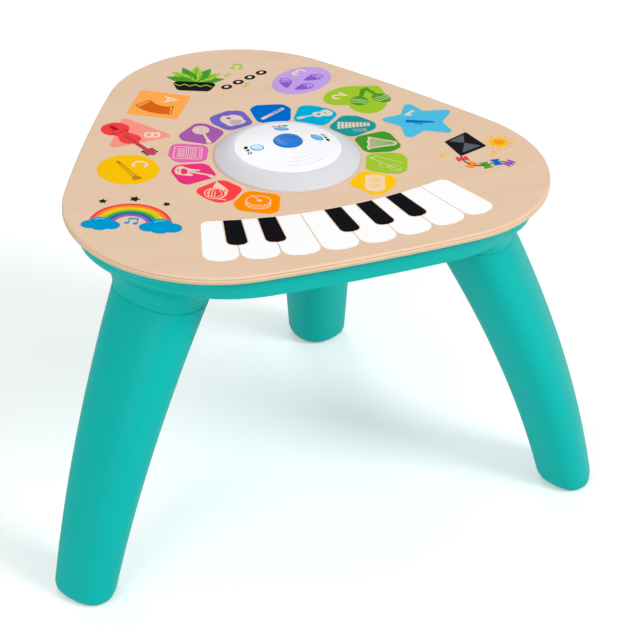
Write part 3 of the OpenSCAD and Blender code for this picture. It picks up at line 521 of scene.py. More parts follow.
def keyboard():
    """Eight white keys and five black ones over them, with bare wood between."""
    white = ink("ink_white", srgb(250, 250, 250), 0.55, 0.003)
    black = ink("ink_black", srgb(22, 21, 26), 0.55)
    sheet = Print("keyboard_print", "ink_white")
    for i in range(WHITE_KEYS):
        sheet.fill(white, white_key(i))
    for i in BLACK_AFTER:
        sheet.fill(PAD_WOOD, black_key(i, BLACK_BORDER), level=1)
        sheet.fill(black, black_key(i), level=2)
    sheet.finish("white_key_prints", "black_key_prints")


# ---------- instrument pads ----------
# Every picture is drawn in millimetres about its pad's middle, in a frame turned by UPRIGHT.

UPRIGHT = -24.4
PAD_RING = 88.7         # radius of the circle of pads round the console axis
PAD_STEP = 25.83        # degrees from pad to pad
PAD_CORNER = 8.5
PAD_GROW = 1.01
LINE_SHARE, HAZE_SHARE = 0.12, 0.5     # how much of the pad's colour its two pale inks hold


def drum(d):
    d.line(oval(10.6, 8.6, (-1.8, 3)), 1.0, True)
    d.line([(-12.4, 2)] + arc(10.6, 180, 360, 16, (-1.8, -3.6), 0.74) + [(8.8, 2)], 1.0)
    d.line([(-12, -2), (-9.4, -8.4), (-6.4, -5), (-4, -10.8), (-0.8, -5.6),
            (2, -10.6), (4.4, -4.8), (7.4, -7.6), (8.6, -1)], 0.7)
    d.line([(-8.6, 13), (-1.6, 4.4)], 1.0)
    d.fill(oval(2.2, 2.0, (-0.8, 3.2)))


def horn(d):
    d.fill([(-4.6, 17.6), (-7.2, 6.2), (-2.6, 3.6), (2, 2), (6.8, 1.4), (3, 8)])
    d.line(oval(9.0, 9.4, (-4.6, -4.8), 20), 1.1, True)
    d.line(oval(6.2, 6.6, (-4.8, -4.6), 20), 0.7, True)
    for x in (-9, -6.4, -3.8):
        d.line([(x, 3.6), (x - 1.2, -11.6)], 0.8)
    d.line([(6, 2), (4.8, -7), (1.4, -12.6)], 1.6)
    d.line([(-4.8, -13.6), (6, -15.8)], 1.2)
    d.fill(oval(1.7, 1.7, (-3.2, 0.6)), ink=d.hole, up=1)


def electric_guitar(d):
    body = [(-18.4, 3), (-16.6, 10.2), (-12.4, 12), (-8, 9.2), (-3, 7.2), (3.6, 6.4), (3.2, 4.2),
            (-3.6, 3), (-5.4, 0.2), (-2, -3), (-2.6, -5.4), (-10, -5), (-16, -3.6)]
    plate = [(-12.6, 6.6), (-8, 5.8), (-6.8, 1.2), (-8.4, -2.6), (-12, -2)]
    d.fill(smooth(body))
    d.fill(smooth(plate), ink=d.hole, up=1)
    d.fill([(-4.6, 0.6), (14.4, -4.8), (15, -2.4), (-4, 3.4)], up=2)
    d.fill(rounded([(12.6, -1.6), (11.6, -5.4), (15.8, -8.2), (17.6, -4.6)], 1), up=2)
    d.fill(oval(0.8, 1.8, (-15.4, 4.2), 10), ink=d.hole, up=1)


def accordion(d):
    d.line(rounded([(-13.4, -12.6), (11.4, -12.6), (11.4, 10.2), (-13.4, 10.2)], 1.4), 0.9, True)
    d.fill(rounded([(-10.8, -10), (-3.8, -10), (-3.8, 7.6), (-10.8, 7.6)], 0.6), ink=d.haze)
    for y in (-7, -4, -1, 2, 5):
        d.line([(-10.8, y), (-3.8, y)], 0.6, ink=d.hole, up=1)
    for x in (-2.6, -0.8, 1.2, 3.0, 4.8):
        d.line([(x, -12), (x, 9.6)], 0.7)
    d.line(rounded([(6.4, -9.4), (9.6, -9.4), (9.6, 7.2), (6.4, 7.2)], 0.8), 0.7, True)


def banjo(d):
    d.fill(oval(7.8, 8.4, (-2, 6.2)))
    d.line(oval(5.6, 6.2, (-2, 6.2)), 0.7, True, ink=d.haze, up=1)
    for k in (-1, 0, 1):
        d.line([(-2.6 + 1.4 * k, 11), (-1.2 + 1.4 * k, 1.6)], 0.5, ink=d.haze, up=1)
    d.fill([(0.2, -1.6), (4.2, -12.6), (6.6, -12), (2.6, -1.2)])
    d.fill(rounded([(4, -12), (4.8, -19.2), (7.6, -19.8), (9.6, -18), (6.8, -11.4)], 1))


def ocarina(d):
    body = [(-11, 1), (-9, 5.6), (-4.5, 7), (-1, 9.2), (4, 8.8), (8.5, 6), (10.4, 1), (13, -3),
            (10, -8), (4, -11.6), (0, -14), (-3.4, -12.6), (-6.4, -9), (-10, -5)]
    shadow = [(-1.4, -1.4), (-1.6, -8), (1, -11.8), (8.4, -8.4), (9.8, -0.8)]
    d.fill(smooth(body))
    d.fill(oval(2.2, 2.1, (-3.2, 1.8)), ink=d.hole, up=1)
    d.fill(rounded(shadow, 1.2), ink=d.haze, up=1)


def flute(d):
    lean, middle = 52, (0.9, -1.5)
    d.fill(turned(rounded(box(31, 3.9), 1), lean, 1, middle))
    for k in range(7):
        d.fill(turned(oval(0.8, 1.3, (-1 + 2.2 * k, 0.2)), lean, 1, middle), ink=d.hole, up=1)
    d.line(turned([(-6, -2), (-6, 2)], lean, 1, middle), 0.6, ink=d.hole, up=1)


def guitar(d):
    body = [(18.2, 0), (16, 5.4), (11.6, 6.5), (7.6, 4.3), (3.6, 5.2), (0, 4), (-1.4, 0)]
    lean, head_lean = 25, 28
    d.fill(turned(smooth(folded(body)), lean))
    d.fill(turned(oval(2.1, 2.1, (4.4, 0)), lean), ink=d.hole, up=1)
    d.line(turned([(11.8, -2.8), (11, 2.8)], lean), 1.0, ink=d.hole, up=1)
    d.fill(turned(box(10, 1.9, (-5.6, 0)), lean))
    d.fill(turned(rounded(box(7.6, 4, (-14, 0)), 1), head_lean))


def xylophone(d):
    for i in range(9):
        x, low, high = -12 + 3.4 * i, -8.2 + i, 5.7 + 0.14 * i
        bar = [(x - 1.3, low), (x + 1.3, low + 0.2), (x + 1.3, high + 0.1), (x - 1.3, high)]
        d.fill(rounded(bar, 0.5))
    d.line([(-13.2, 2.4), (16.4, 4.8)], 0.5, ink=d.haze, up=1)
    d.line([(-13.2, -4.6), (16.4, 1.8)], 0.5, ink=d.haze, up=1)
    for a, b in (((0, -8.4), (12, -6.2)), ((1.6, -12), (12.6, -9.6))):
        d.line([a, b], 0.9, ink=d.haze)
        d.fill(oval(1.3, 1.1, b), ink=d.haze, up=1)


def harp(d):
    d.fill([(-8, 8.4), (-7.4, -14), (15.6, -4), (17, 1.4)], ink=d.haze)
    for k in range(5):
        y = 5.6 - 3.4 * k
        d.line([(-7.4, y), (15 - 1.2 * abs(k - 1.5), y * 0.25 - 1.2)], 0.4, ink=d.hole, up=1)
    d.line([(-8.6, 9.2), (-7.4, 5), (-9, 0), (-7.6, -5), (-9, -10), (-7.8, -16)], 2.0, up=2)
    d.line([(-8, 8.8), (2, 5.6), (17.4, 1.4)], 1.4, up=2)
    d.line([(17.4, 0.8), (15.8, -4.4), (4, -8.8), (-6.8, -13.4)], 1.4, up=2)


def trumpet(d):
    d.line([(-13.4, 6.8), (-8.6, 3.4), (-4, -1.4), (2.6, -5.6), (12.8, -14.8)], 1.5, ink=d.haze)
    d.line([(-11.6, 12.4), (0, 6.4), (14.2, 0.4)], 1.3, ink=d.haze)
    d.line(oval(4.4, 3.4, (-2.4, -6), -35), 1.0, True, ink=d.haze)
    d.line(oval(6, 4.6, (8, -10), -40), 1.1, True, ink=d.haze)
    d.fill(oval(1.8, 2.6, (-13, 6.6), 50), ink=d.haze, up=1)


def tall_drum(d):
    shell = [(0, 13.6), (6, 12.6), (9, 8), (8.4, 0), (9.4, -8), (6.4, -15), (0, -17.2)]
    d.fill(smooth(mirrored(shell)))
    d.fill(oval(5.6, 4.8, (0, 5.2)), ink=d.haze, up=1)
    d.fill(oval(5, 4.2, (0, -7.2)), ink=d.haze, up=1)
    for x in (-2.4, 0, 2.4):
        d.line([(x, -5), (x, -9)], 0.6, up=2)


def mixed(a, b, share):
    """The colour a share of the way from a to b."""
    return tuple(p + (q - p) * share for p, q in zip(a, b))


# Each pad: name, colour, picture, and its corners in the upright frame
PADS = [
    ("orange", srgb(255, 141, 0), drum,
     [(-13, 20.5), (16.8, 15.6), (16.6, -14.6), (8, -19.6), (-18, -15.4), (-23.4, -4)]),
    ("coral", srgb(251, 66, 70), horn,
     [(0, 22.5), (19.8, 6.2), (12, -14), (0.5, -22), (-11.5, -14.5), (-24, -0.5)]),
    ("magenta", srgb(234, 52, 124), electric_guitar,
     [(9, 19.6), (20.2, -4.6), (-6, -22.8), (-13, -17), (-21.8, 2), (-18.6, 13.6)]),
    ("pink", srgb(230, 102, 178), accordion,
     [(-16.8, 16.8), (17, 14.3), (16.2, -16), (-10.5, -20.2), (-18.4, -7)]),
    ("purple", srgb(166, 92, 170), banjo,
     [(-7.5, 20), (2, 19.4), (20.6, 5), (9.6, -21.8), (-18.4, -15.4), (-21.2, -5)]),
    ("violet", srgb(114, 100, 192), ocarina,
     [(-6, 16.8), (8.6, 19.4), (20.8, -6.6), (-1.5, -23.8), (-17.4, -10), (-21.8, 2)]),
    ("blue", srgb(0, 106, 204), flute,
     [(-15.6, 14.7), (9, 19.2), (17.2, 12), (18, -15.6), (-11.6, -21.8), (-20.8, 6)]),
    ("cyan", srgb(0, 174, 216), guitar,
     [(-14.2, 19.6), (0, 19.4), (14.4, 13.6), (22.2, 4.4), (10.2, -21.4), (-19.6, -14.2)]),
    ("teal", srgb(28, 152, 152), xylophone,
     [(-9, 19.8), (5.4, 19.8), (22.2, 7), (21.8, -4.6), (0, -24.8), (-22.2, -6)]),
    ("green", srgb(64, 152, 42), harp,
     [(6, 22.8), (12.2, 17), (22.2, -7), (12.4, -17.2), (-11, -21.8), (-21.4, 4), (-17, 10.6)]),
    ("lime", srgb(158, 198, 48), trumpet,
     [(-17.6, 14.6), (5, 19.2), (14.4, 18), (19, 8), (18.2, -13), (12, -20.8), (0, -20.6),
      (-18.2, -16.2)]),
    ("yellow", srgb(250, 196, 16), tall_drum,
     [(-11, 20.6), (2, 17.6), (19.6, 10.6), (17.8, -3.5), (6.6, -22.6), (-3.6, -22.4), (-12, -14),
      (-24.4, -5.6)]),
]


def instrument_pads():
    """The ring of twelve pads round the console, each with its instrument."""
    sheet = Print("instrument_pads", "ink_colours")
    for i, (name, colour, picture, outline) in enumerate(PADS):
        t = math.radians(90 + ((len(PADS) - 1) / 2 - i) * PAD_STEP)
        at = (PAD_RING * math.cos(t), PAD_RING * math.sin(t))
        base = ink("ink_" + name, colour)
        sheet.fill(base, turned(rounded(outline, PAD_CORNER, 8), UPRIGHT, PAD_GROW, at))
        pen = Placed(sheet, ink("ink_%s_lines" % name, mixed(CREAM, colour, LINE_SHARE)), at, UPRIGHT)
        pen.hole = base
        pen.haze = ink("ink_%s_haze" % name, mixed(CREAM, colour, HAZE_SHARE))
        picture(pen)
    sheet.finish("instrument_pad_prints")


# ---------- shape pads ----------

GLYPHS = {
    "A": [[(-5.6, -5.6), (0, 5.6), (5.6, -5.6)], [(-3.4, -2), (3.4, -2)]],
    "B": [[(-4, -6.4), (-4, 6.4)], [(-4, 6)] + arc(3.2, 90, -90, 8, (0.8, 2.9)) + [(-4, 0)],
          [(-4, 0)] + arc(3.4, 90, -90, 8, (1.2, -2.9)) + [(-4, -6.2)]],
    "C": [arc(6, 48, 312, 18)],
    "1": [[(-3.4, 2.6), (1, 6), (1, -6.4)]],
    "2": [arc(3.9, 165, -35, 12, (0, 2.5)) + [(-4.2, -6), (4.6, -6)]],
    "3": [arc(3.5, 150, -80, 12, (0, 3)), arc(3.8, 80, -150, 12, (0, -3.2))],
}


GLYPH_WIDTH = 2.6
LETTER_TURN, DIGIT_TURN = -90, 143


def glyph(pen, sign, at, turn):
    """A letter or digit in bare wood."""
    for stroke in GLYPHS[sign]:
        pen.line(turned(stroke, turn, 1, at), GLYPH_WIDTH, ink=PAD_WOOD)


def between(a, b, share):
    """The point a share of the way from a to b."""
    return tuple(Vector(a).lerp(Vector(b), share))


def squeeze_box(d):
    """Fan-shaped bellows between two end plates."""
    deep = ink("ink_amber", srgb(226, 106, 22))
    fold = ink("ink_amber_fold", srgb(196, 84, 16))
    top = [(-8, 6), (-4.6, 1), (-1, -1.8), (4, -3.8), (9.6, -4.8)]
    low = [(-19.2, -8.6), (-14, -13.6), (-8, -17.2), (1, -19.6), (9, -19.8)]
    d.fill(top + low[::-1], ink=deep)
    pleats = 12
    for k in range(1, pleats):
        t = (len(top) - 1) * k / pleats
        i, share = int(t), t - int(t)
        d.line([between(top[i], top[i + 1], share), between(low[i], low[i + 1], share)], 0.5,
               ink=fold, up=1)
    for plate in ([(-10.8, 7.8), (-22.2, -3.2), (-19.6, -8.4), (-8.2, 5.4)],
                  [(9.8, -3.6), (12.8, -2.8), (11.6, -20.2), (9.2, -20.6)]):
        d.line(plate, 0.7, True, ink=fold, up=2)
        middle = [between(plate[0], plate[3], 0.5), between(plate[1], plate[2], 0.5)]
        d.line(middle, 0.4, ink=fold, up=2)


def violin(d):
    red = ink("ink_red", srgb(244, 66, 68))
    deep = ink("ink_deep_red", srgb(176, 24, 52))
    neck = ink("ink_neck", srgb(196, 70, 84))
    peg = ink("ink_peg", srgb(104, 24, 36))
    half = [(0, 27), (6.4, 25.4), (10, 19.4), (8.6, 12.6), (6.6, 8), (6.8, 4.6), (11.4, 0.4),
            (13.2, -7), (9, -15.6), (0, -18.8)]
    d.fill(smooth(mirrored(half)), ink=red)
    d.fill(rounded([(-2.4, 9), (2.4, 9), (2, 44), (-2, 44)], 0.6), ink=neck, up=1)
    d.fill(smooth([(-3.4, 43), (3.4, 43), (4, 50), (2, 55), (-2, 55), (-4, 50)]), ink=neck, up=2)
    for y in (45, 48.6, 52.2):
        for side in (-1, 1):
            d.fill(oval(1.2, 1.1, (side * 5.2, y)), ink=peg, up=3)
    d.fill(rounded([(-3, -3.4), (3, -3.4), (1.8, -13.6), (-1.8, -13.6)], 0.8), ink=deep, up=1)
    for side in (-1, 1):
        d.line([(side * 5.6, 6.4), (side * 7.4, 2), (side * 6, -2.2)], 1.0, ink=deep, up=1)
    d.line([(-5, 2), (5, 2)], 1.0, ink=deep, up=1)


def clarinet(d):
    brown = ink("ink_brown", srgb(186, 136, 20))
    d.line(rounded([(-1.9, -13), (1.9, -13), (1.5, 13.4), (-1.5, 13.4)], 0.4), 0.8, True, ink=brown)
    d.fill(rounded([(-1.8, -12.4), (1.8, -12.4), (5.2, -20.4), (-5.2, -20.4)], 0.8), ink=brown)
    d.fill(rounded([(-1.7, 13), (1.7, 13), (1.4, 18.6), (-1.4, 18.6)], 0.5), ink=brown)
    for y in range(-10, 13, 3):
        d.fill(oval(0.8, 0.9, (0, y)), ink=brown)


def hand_bells(d):
    deep = ink("ink_grape", srgb(136, 92, 204))
    for at, lean in (((10.6, 5), -52), ((-15, -9), 7), ((2.4, -16), -52)):
        cone = [(0, -10.4), (6.4, 3.2), (4, 5.2), (0, 6), (-4, 5.2), (-6.4, 3.2)]
        d.fill(turned(smooth(cone, 5), lean, 1, at), ink=deep)
        d.line(turned(arc(4.4, -20, 200, 12, (0, 6)), lean, 1, at), 1.1, ink=deep)
        d.line(turned([(-4.6, 2.6), (0, 4.2), (4.6, 2.6)], lean, 1, at), 0.7, ink=PAD_WOOD, up=1)


def maracas(d):
    deep = ink("ink_leaf", srgb(76, 152, 44))
    head_x, head_y = 8.6, 9.6
    handle = rounded([(-1.9, 8), (1.9, 8), (2.5, 26), (-2.5, 26)], 0.6)
    for at, lean in (((22, 4.6), 38), ((1.2, -3.6), -8)):
        d.fill(turned(oval(head_x, head_y), lean, 1, at), ink=deep, up=1)
        d.fill(turned(handle, lean, 1, at), ink=deep)
        for y in (-4.4, -1.2, 2.0):
            half = head_x * math.sqrt(1 - (y / head_y) ** 2) * 0.96
            d.line(turned([(-half, y), (0, y + 0.8), (half, y)], lean, 1, at), 1.0, ink=d.pale, up=2)
    d.fill(rounded([(0.4, 20), (9.6, 20.4), (8.8, 24.8), (3.6, 22.6)], 1), ink=deep, up=1)


def piccolo(d):
    deep = ink("ink_ocean", srgb(0, 116, 196))
    d.fill(rounded([(-12.4, -5), (3.4, -4.2), (14.2, -3), (14.2, 0), (3.4, 0.4), (-12.2, 1)], 0.6), ink=deep)
    for x in (-2.6, 0, 2.6):
        d.fill(oval(0.8, 2, (x, -6.4)), ink=deep)


def shape_pads():
    """The six large pads: each a plain shape with a letter or digit and an instrument."""
    sheet = Print("shape_pads", "ink_colours")

    def place(name, colour, at, outline):
        sheet.fill(ink("ink_" + name, colour), turned(outline, UPRIGHT, 1, at))
        return Placed(sheet, PAD_WOOD, at, UPRIGHT)

    pen = place("apricot", srgb(255, 170, 80), (-72, 138),
                rounded([(-20.4, 29), (27.8, 19.6), (18, -29), (-29.8, -22)], 3.5))
    glyph(pen, "A", (8.8, 11), LETTER_TURN)
    squeeze_box(pen)
    pen = place("salmon", srgb(251, 150, 134), (-115, 90),
                rounded([(-13, 32.6), (37.4, -2), (-19.4, -31.6)], 4))
    glyph(pen, "B", (17.4, -1.6), LETTER_TURN)
    violin(Placed(sheet, PAD_WOOD, (-126, 98), UPRIGHT - 140))
    pen = place("sun", srgb(250, 194, 10), (-142, 26), oval(27.5, 27.7, n=80))
    glyph(pen, "C", (9.6, 9.4), LETTER_TURN)
    clarinet(Placed(sheet, PAD_WOOD, (-143, 25.4), UPRIGHT + 33.4))
    pen = place("lilac", srgb(194, 160, 232), (74, 143), oval(34.3, 23.8, (0, -1.4), 53, 80))
    glyph(pen, "3", (-3.4, 15.4), DIGIT_TURN)
    hand_bells(pen)
    heart = [(24.5, 18), (27, 4), (26.6, -8), (23.6, -18.5), (16, -26.5), (7, -28.8), (-1.5, -25.6),
             (-6.5, -18.8), (-8.8, -13.6), (-14, -13.2), (-22, -14), (-29, -11), (-32.6, -3.5),
             (-32, 5), (-27.5, 14), (-20, 21.5), (-11, 26.8), (4, 29), (16.6, 30.4), (19.2, 29.8)]
    pen = place("grass", srgb(158, 198, 44), (108, 86), smooth(heart))
    pen.pale = ink("ink_grass_pale", srgb(200, 222, 140))
    glyph(pen, "2", (-18.6, 5), DIGIT_TURN)
    maracas(pen)
    tips = [(-39, -0.5), (-16.7, 11.2), (-11.6, 39.4), (4.2, 20.6), (32.6, 26.6), (21.8, 0.2),
            (33, -23.4), (5, -19.4), (-11.6, -40), (-17, -12.2)]
    pen = place("sky", srgb(78, 188, 224), (143, 26), rounded(tips, 4.4))
    glyph(pen, "1", (-7.4, 15.2), DIGIT_TURN)
    piccolo(pen)
    sheet.finish("shape_prints")


# ---------- corner pictures: plain generic motifs ----------

LEFT_CORNER, BACK_CORNER, RIGHT_CORNER = (-160, -62), (-8, 180), (170, -52)

RAINBOW = [
    ("red", srgb(238, 72, 76)), ("tangerine", srgb(252, 142, 28)), ("gold", srgb(250, 198, 24)),
    ("lime_dye", srgb(170, 205, 54)), ("leaf_dye", srgb(70, 158, 50)), ("sea", srgb(0, 108, 196)),
    ("plum", srgb(160, 94, 186)),
]


def rainbow_ink(k):
    name, colour = RAINBOW[k]
    return ink("ink_" + name, colour)


def note(pen, at, turn, size=1.0, double=False):
    """A music note with a flag, or two joined by a beam."""
    def put(ring):
        pen.fill(turned(ring, turn, size, at))

    put(oval(2.3, 1.7, (0, 0), 20))
    put(box(1.0, 8.6, (1.8, 4.2)))
    if double:
        put(oval(2.3, 1.7, (7.6, -0.8), 20))
        put(box(1.0, 8.6, (9.4, 3.4)))
        put([(1.3, 7.2), (9.9, 6.4), (9.9, 8.8), (1.3, 9.4)])
    else:
        put([(1.4, 8.8), (5.2, 6.6), (5.4, 4.4), (1.8, 6.2)])


def star(r, at, turn=0, tips=5, waist=0.45):
    """Outline of a star whose inner corners lie at the share waist of its radius."""
    ring = []
    for k in range(2 * tips):
        t = math.pi * k / tips
        reach = r * (1 if k % 2 == 0 else waist)
        ring.append((reach * math.cos(t), reach * math.sin(t)))
    return turned(rounded(ring, r * 0.12, 3), turn, 1, at)


def leaf(length, width, at, turn):
    """Outline of a leaf from its stalk at the place given, widest a little before its middle."""
    side = [(length * k / 8, width / 2 * math.sin(math.pi * (k / 8) ** 0.8)) for k in range(9)]
    return turned(folded(side), turn, 1, at)


def rainbow_and_clouds(sheet):
    """Left corner: a rainbow between two blue clouds, with small dark stars above it."""
    blue = ink("ink_cloud", srgb(0, 152, 206))
    pale = ink("ink_cloud_light", srgb(110, 200, 232))
    dark = ink("ink_charcoal", srgb(38, 33, 37))
    pen = Placed(sheet, blue, LEFT_CORNER, UPRIGHT)
    outer, band = 34, 3.1
    for k in range(len(RAINBOW)):
        pen.line(arc(outer - band * k, 4, 176, 40, (-9, -10)), band - 0.1, ink=rainbow_ink(k))
    puffs = ((-9, -1, 7.4), (0, 4, 9.4), (9, -1, 7.8), (0, -3, 8))
    for x, y, size in ((-34, -12, 1.0), (17, -13, 1.1)):
        for dx, dy, r in puffs:
            pen.fill(oval(r * size, r * size * 0.9, (x + dx * size, y + dy * size)), up=1)
        pen.line(arc(6 * size, 150, 60, 8, (x, y + 3.4 * size)), 1.3, ink=pale, up=2)
    for at, r, turn in (((-36, 28), 4.6, 18), ((-9, 34), 5.6, 0), ((19, 27), 4.2, 40)):
        pen.fill(star(r, at, turn), ink=dark)
    note(pen, (-12, -8), 0, 0.95, double=True)


def leaves_in_a_bowl(sheet):
    """Back corner: green and lime leaves in a dark bowl, and a row of dark stepping stones."""
    green = ink("ink_leaf_art", srgb(74, 158, 50))
    lime = ink("ink_lime_art", srgb(160, 202, 56))
    vein = ink("ink_vein", srgb(52, 128, 40))
    dark = ink("ink_night", srgb(30, 28, 31))
    pen = Placed(sheet, green, BACK_CORNER, UPRIGHT)
    foot, leaves = (-12, -14), 7
    for k in range(leaves):
        turn = 18 + 24 * k
        length = 36 - 2.2 * abs(k - leaves // 2)
        pen.fill(leaf(length, 12.5, foot, turn), ink=lime if k % 2 else green)
        pen.line(turned([(8, 0), (length - 6, 0)], turn, 1, foot), 0.7, ink=vein, up=1)
    pen.fill(rounded([(-34, -14), (10, -14), (3, -33), (-27, -33)], 5), ink=dark, up=2)
    zigzag = [(-31 + 5 * k, -24 if k % 2 else -20) for k in range(7)] + [(5, -24)]
    pen.line(zigzag, 1.3, ink=lime, up=3)
    for k in range(4):
        at = (19 + 10.5 * k, -22 + 11.5 * k)
        pen.fill(oval(5.6, 4.4, at, 40), ink=dark)
        pen.fill(oval(2.4, 1.8, at, 40), ink=PAD_WOOD, up=1)
    small = Placed(sheet, lime, BACK_CORNER, UPRIGHT)
    note(small, (22, 20), 6, 1.0, double=True)
    note(small, (17, 2), -8, 0.8)
    note(small, (36, -19), 4, 0.8)


def kite_and_sun(sheet):
    """Right corner: a dark kite whose tail carries coloured bows, and a yellow sun."""
    sun = ink("ink_sun_art", srgb(250, 190, 16))
    dark = ink("ink_kite", srgb(34, 28, 31))
    grey = ink("ink_slate", srgb(88, 96, 102))
    pen = Placed(sheet, sun, RIGHT_CORNER, UPRIGHT)
    tip, foot, left, right, cross = (-14, 40), (-20, -8), (-34, 19), (4, 14), (-16, 18)
    pen.fill(rounded([tip, left, foot, right], 1.4), ink=dark)
    pen.fill(rounded([cross, (-16, 35), (-30, 20)], 0.8), ink=grey, up=1)
    pen.fill(rounded([cross, (-1, 14), (-18.4, -2)], 0.8), ink=grey, up=1)
    tail = [foot, (-17, -18), (-9, -25), (2, -24), (10, -18), (19, -16), (27, -21)]
    curve = open_curve(tail)
    pen.line(curve, 1.1, ink=dark)
    bow = rounded([(0, 1), (5.4, 5.6), (5.4, -5.6), (0, -1), (-5.4, -5.6), (-5.4, 5.6)], 1)
    for k, hue in enumerate((0, 1, 4, 5, 6)):
        at, ahead = curve[6 * k + 3], curve[6 * k + 4]
        turn = math.degrees(math.atan2(ahead[1] - at[1], ahead[0] - at[0]))
        pen.fill(turned(bow, turn + 90, 1, at), ink=rainbow_ink(hue), up=1)
    centre = (16, 22)
    pen.fill(oval(8.6, 8.6, centre))
    pen.fill(oval(4.8, 4.8, centre), ink=ink("ink_honey", srgb(255, 150, 30)), up=1)
    rays = 12
    for k in range(rays):
        pen.line(turned([(10.6, 0), (14.6, 0)], 360 / rays * k, 1, centre), 2.0)
    note(pen, (-38, -12), 4, 0.9)
    note(pen, (8, -4), 0, 1.0)


def corner_pictures():
    sheet = Print("corner_pictures", "ink_colours")
    rainbow_and_clouds(sheet)
    leaves_in_a_bowl(sheet)
    kite_and_sun(sheet)
    sheet.finish()


# ---------- signs on the dome ----------

DOME_R = 48.5
RING_RISE, DOME_RISE = 10.3, 6.5       # height of the dome's rim over the panel, and of its top over that
DOME_SPHERE = (DOME_R ** 2 + DOME_RISE ** 2) / (2 * DOME_RISE)
SIGN_LIFT = 0.06
LENS_L, LENS_W = 12, 8.5
LENSES = [(28.6, 2, -70), (27.4, 80, -34), (29.4, 178, -55)]      # radius, angle and lie of each
SIGN_ROWS = [(37.5, 2), (36, 80), (38.5, 178)]                    # radius and middle angle of each
SIGN_STEP = 8                                                     # degrees between signs
RIPPLES = [(29, 16), (34, 22), (39.5, 28)]                        # radius and half angle of each
RIPPLE_SIDE = -88


def on_dome(x, y):
    """Height of the dome over the panel at a place from the console axis."""
    return RING_RISE + DOME_RISE - DOME_SPHERE + math.sqrt(max(0, DOME_SPHERE ** 2 - x * x - y * y))


def pointed_oval(length, width):
    """Outline between two equal arcs, as the lenses have."""
    r = (length ** 2 + width ** 2) / (4 * width)
    half = math.degrees(math.asin(length / 2 / r))
    side = arc(r, 90 - half, 90 + half, 12, (0, width / 2 - r))
    return side + [(-x, -y) for x, y in side[1:-1]]


def dome_signs():
    """Three rows of plain signs, a thin dark line round each lens painted as shade at its edge, and faint
    grey ripples at the front painted as the shade of shallow grooves.
    """
    sheet = Print("dome_signs", "ink_black", SIGN_LIFT)
    sheet.height = on_dome
    black = ink("ink_sign", srgb(24, 24, 28))
    faint = ink("ink_groove_shade", srgb(228, 226, 222))
    square = rounded(box(4.6, 3.2), 0.4)
    wedge = [(-2.1, -1.6), (2.1, -1.6), (0, 2.2)]
    for r, middle in SIGN_ROWS:
        def put(sign, around, width=None):
            moved = turned(sign, around - 90, 1, turned([(r, 0)], around)[0])
            if width:
                sheet.line(black, moved, width, True)
            else:
                sheet.fill(black, moved)

        put(square, middle - SIGN_STEP)
        put(wedge, middle)
        put(oval(1.7, 1.5), middle + SIGN_STEP, 0.8)
    # painted shade: a thin dark blue line round each lens stands in for the shade at its edge, giving the
    # lens relief
    rim = ink("ink_lens_edge_shade", srgb(38, 120, 178))
    for r, around, lie in LENSES:
        at = turned([(r, 0)], around)[0]
        sheet.line(rim, turned(pointed_oval(LENS_L + 1.0, LENS_W + 0.8), lie, 1, at), 0.8, True)
    # painted shade: faint grey arcs stand in for the shade in three shallow grooves on the dome's front
    for r, half in RIPPLES:
        sheet.line(faint, arc(r, RIPPLE_SIDE - half, RIPPLE_SIDE + half, 20), 0.9)
    sheet.finish()


# ---------- room, light and camera ----------

FLOOR_HALF = 6.0
FLOOR_BOOST = 0.27      # glow that only the camera sees, so that the open floor is white
WORLD_LIGHT = 0.58
# Name, place, aim, disk width and watts
LAMPS = [
    ("key", (1.8, -2.1, 2.35), (0, 0, 0.2), 1.4, 60),
    ("fill", (-2.3, -1.6, 1.8), (0, 0, 0.2), 1.8, 30),
    ("rim", (0.2, 2.4, 2.2), (0, 0, 0.3), 1.6, 18),
]
CAMERA_AZ, CAMERA_EL, CAMERA_ROLL = -24.43, 31.93, 2.21
CAMERA_AWAY = 1.708
CAMERA_AIM = Vector((-0.0818, -0.264, 0))       # from the console axis, at the play surface
FOCAL_PX, FRAME_PX, SENSOR_MM = 2160.7, 640, 36


def floor():
    """A plain pale floor that keeps the table's shadow."""
    mesh = bpy.data.meshes.new("floor")
    corners = [(-1, -1), (1, -1), (1, 1), (-1, 1)]
    mesh.from_pydata([(x * FLOOR_HALF, y * FLOOR_HALF, 0) for x, y in corners], [], [(0, 1, 2, 3)])
    thing = bpy.data.objects.new("floor", mesh)
    bpy.context.scene.collection.objects.link(thing)
    look = Look("pale_floor")
    look.put(base_color=srgb(240, 241, 242), roughness=0.9, specular_ior_level=0.1)
    glow = look.add("ShaderNodeEmission")
    glow.inputs["Color"].default_value = (1, 1, 1, 1)
    rays = look.add("ShaderNodeLightPath")
    boost = look.add("ShaderNodeMath", operation="MULTIPLY")
    boost.inputs[1].default_value = FLOOR_BOOST
    look.link(rays.outputs["Is Camera Ray"], boost.inputs[0])
    look.link(boost.outputs[0], glow.inputs["Strength"])
    both = look.add("ShaderNodeAddShader")
    output = next(n for n in look.tree.nodes if n.type == "OUTPUT_MATERIAL")
    look.link(look.shader.outputs[0], both.inputs[0])
    look.link(glow.outputs[0], both.inputs[1])
    look.link(both.outputs[0], output.inputs["Surface"])
    mesh.materials.append(look.material)


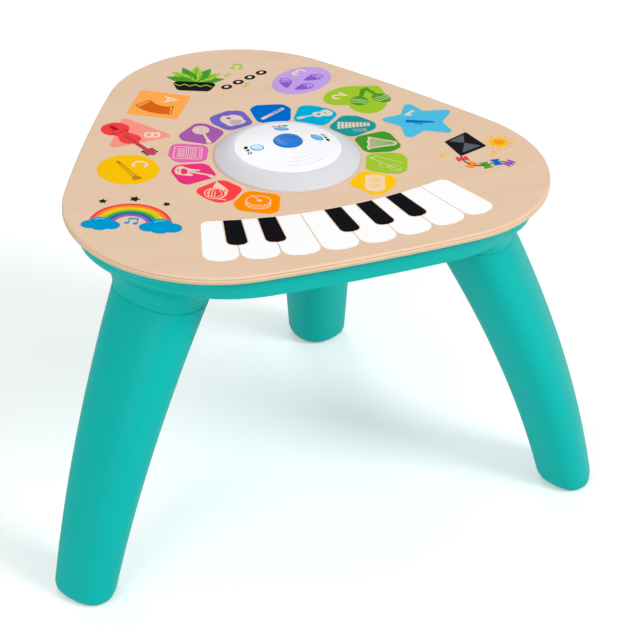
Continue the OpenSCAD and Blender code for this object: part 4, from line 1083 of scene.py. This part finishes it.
def world():
    """Even light from all round, and plain white behind the table."""
    scene = bpy.context.scene
    scene.world = bpy.data.worlds.new("studio")
    scene.world.use_nodes = True
    tree = scene.world.node_tree
    tree.nodes.clear()
    out = tree.nodes.new("ShaderNodeOutputWorld")
    light = tree.nodes.new("ShaderNodeBackground")
    light.inputs["Strength"].default_value = WORLD_LIGHT
    seen = tree.nodes.new("ShaderNodeBackground")
    seen.inputs["Strength"].default_value = 1
    mix = tree.nodes.new("ShaderNodeMixShader")
    rays = tree.nodes.new("ShaderNodeLightPath")
    tree.links.new(rays.outputs["Is Camera Ray"], mix.inputs[0])
    tree.links.new(light.outputs[0], mix.inputs[1])
    tree.links.new(seen.outputs[0], mix.inputs[2])
    tree.links.new(mix.outputs[0], out.inputs["Surface"])


def lamp(name, place, aim, size, watts):
    """A soft round lamp at a place, turned toward its aim."""
    data = bpy.data.lights.new(name, "AREA")
    data.shape = "DISK"
    data.size = size
    data.energy = watts
    thing = bpy.data.objects.new(name, data)
    thing.location = place
    thing.rotation_euler = (Vector(aim) - Vector(place)).to_track_quat("-Z", "Y").to_euler()
    bpy.context.scene.collection.objects.link(thing)


def camera():
    """The camera, set by its angles about the point that it looks at."""
    a, e, roll = (math.radians(v) for v in (CAMERA_AZ, CAMERA_EL, CAMERA_ROLL))
    back = Vector((math.sin(a) * math.cos(e), -math.cos(a) * math.cos(e), math.sin(e)))
    right = (-back).cross(Vector((0, 0, 1))).normalized()
    up = back.cross(right)
    c, s = math.cos(roll), math.sin(roll)
    right, up = c * right + s * up, c * up - s * right
    data = bpy.data.cameras.new("camera")
    data.sensor_width = SENSOR_MM
    data.lens = FOCAL_PX / FRAME_PX * SENSOR_MM
    data.clip_end = 50
    thing = bpy.data.objects.new("camera", data)
    place = AXIS + CAMERA_AIM + CAMERA_AWAY * back
    thing.matrix_world = Matrix.Translation(place) @ Matrix((right, up, back)).transposed().to_4x4()
    bpy.context.scene.collection.objects.link(thing)
    bpy.context.scene.camera = thing


dress_nodes()
keyboard()
instrument_pads()
shape_pads()
corner_pictures()
dome_signs()
floor()
world()
for settings in LAMPS:
    lamp(*settings)
camera()
bpy.context.scene.view_settings.view_transform = "Standard"
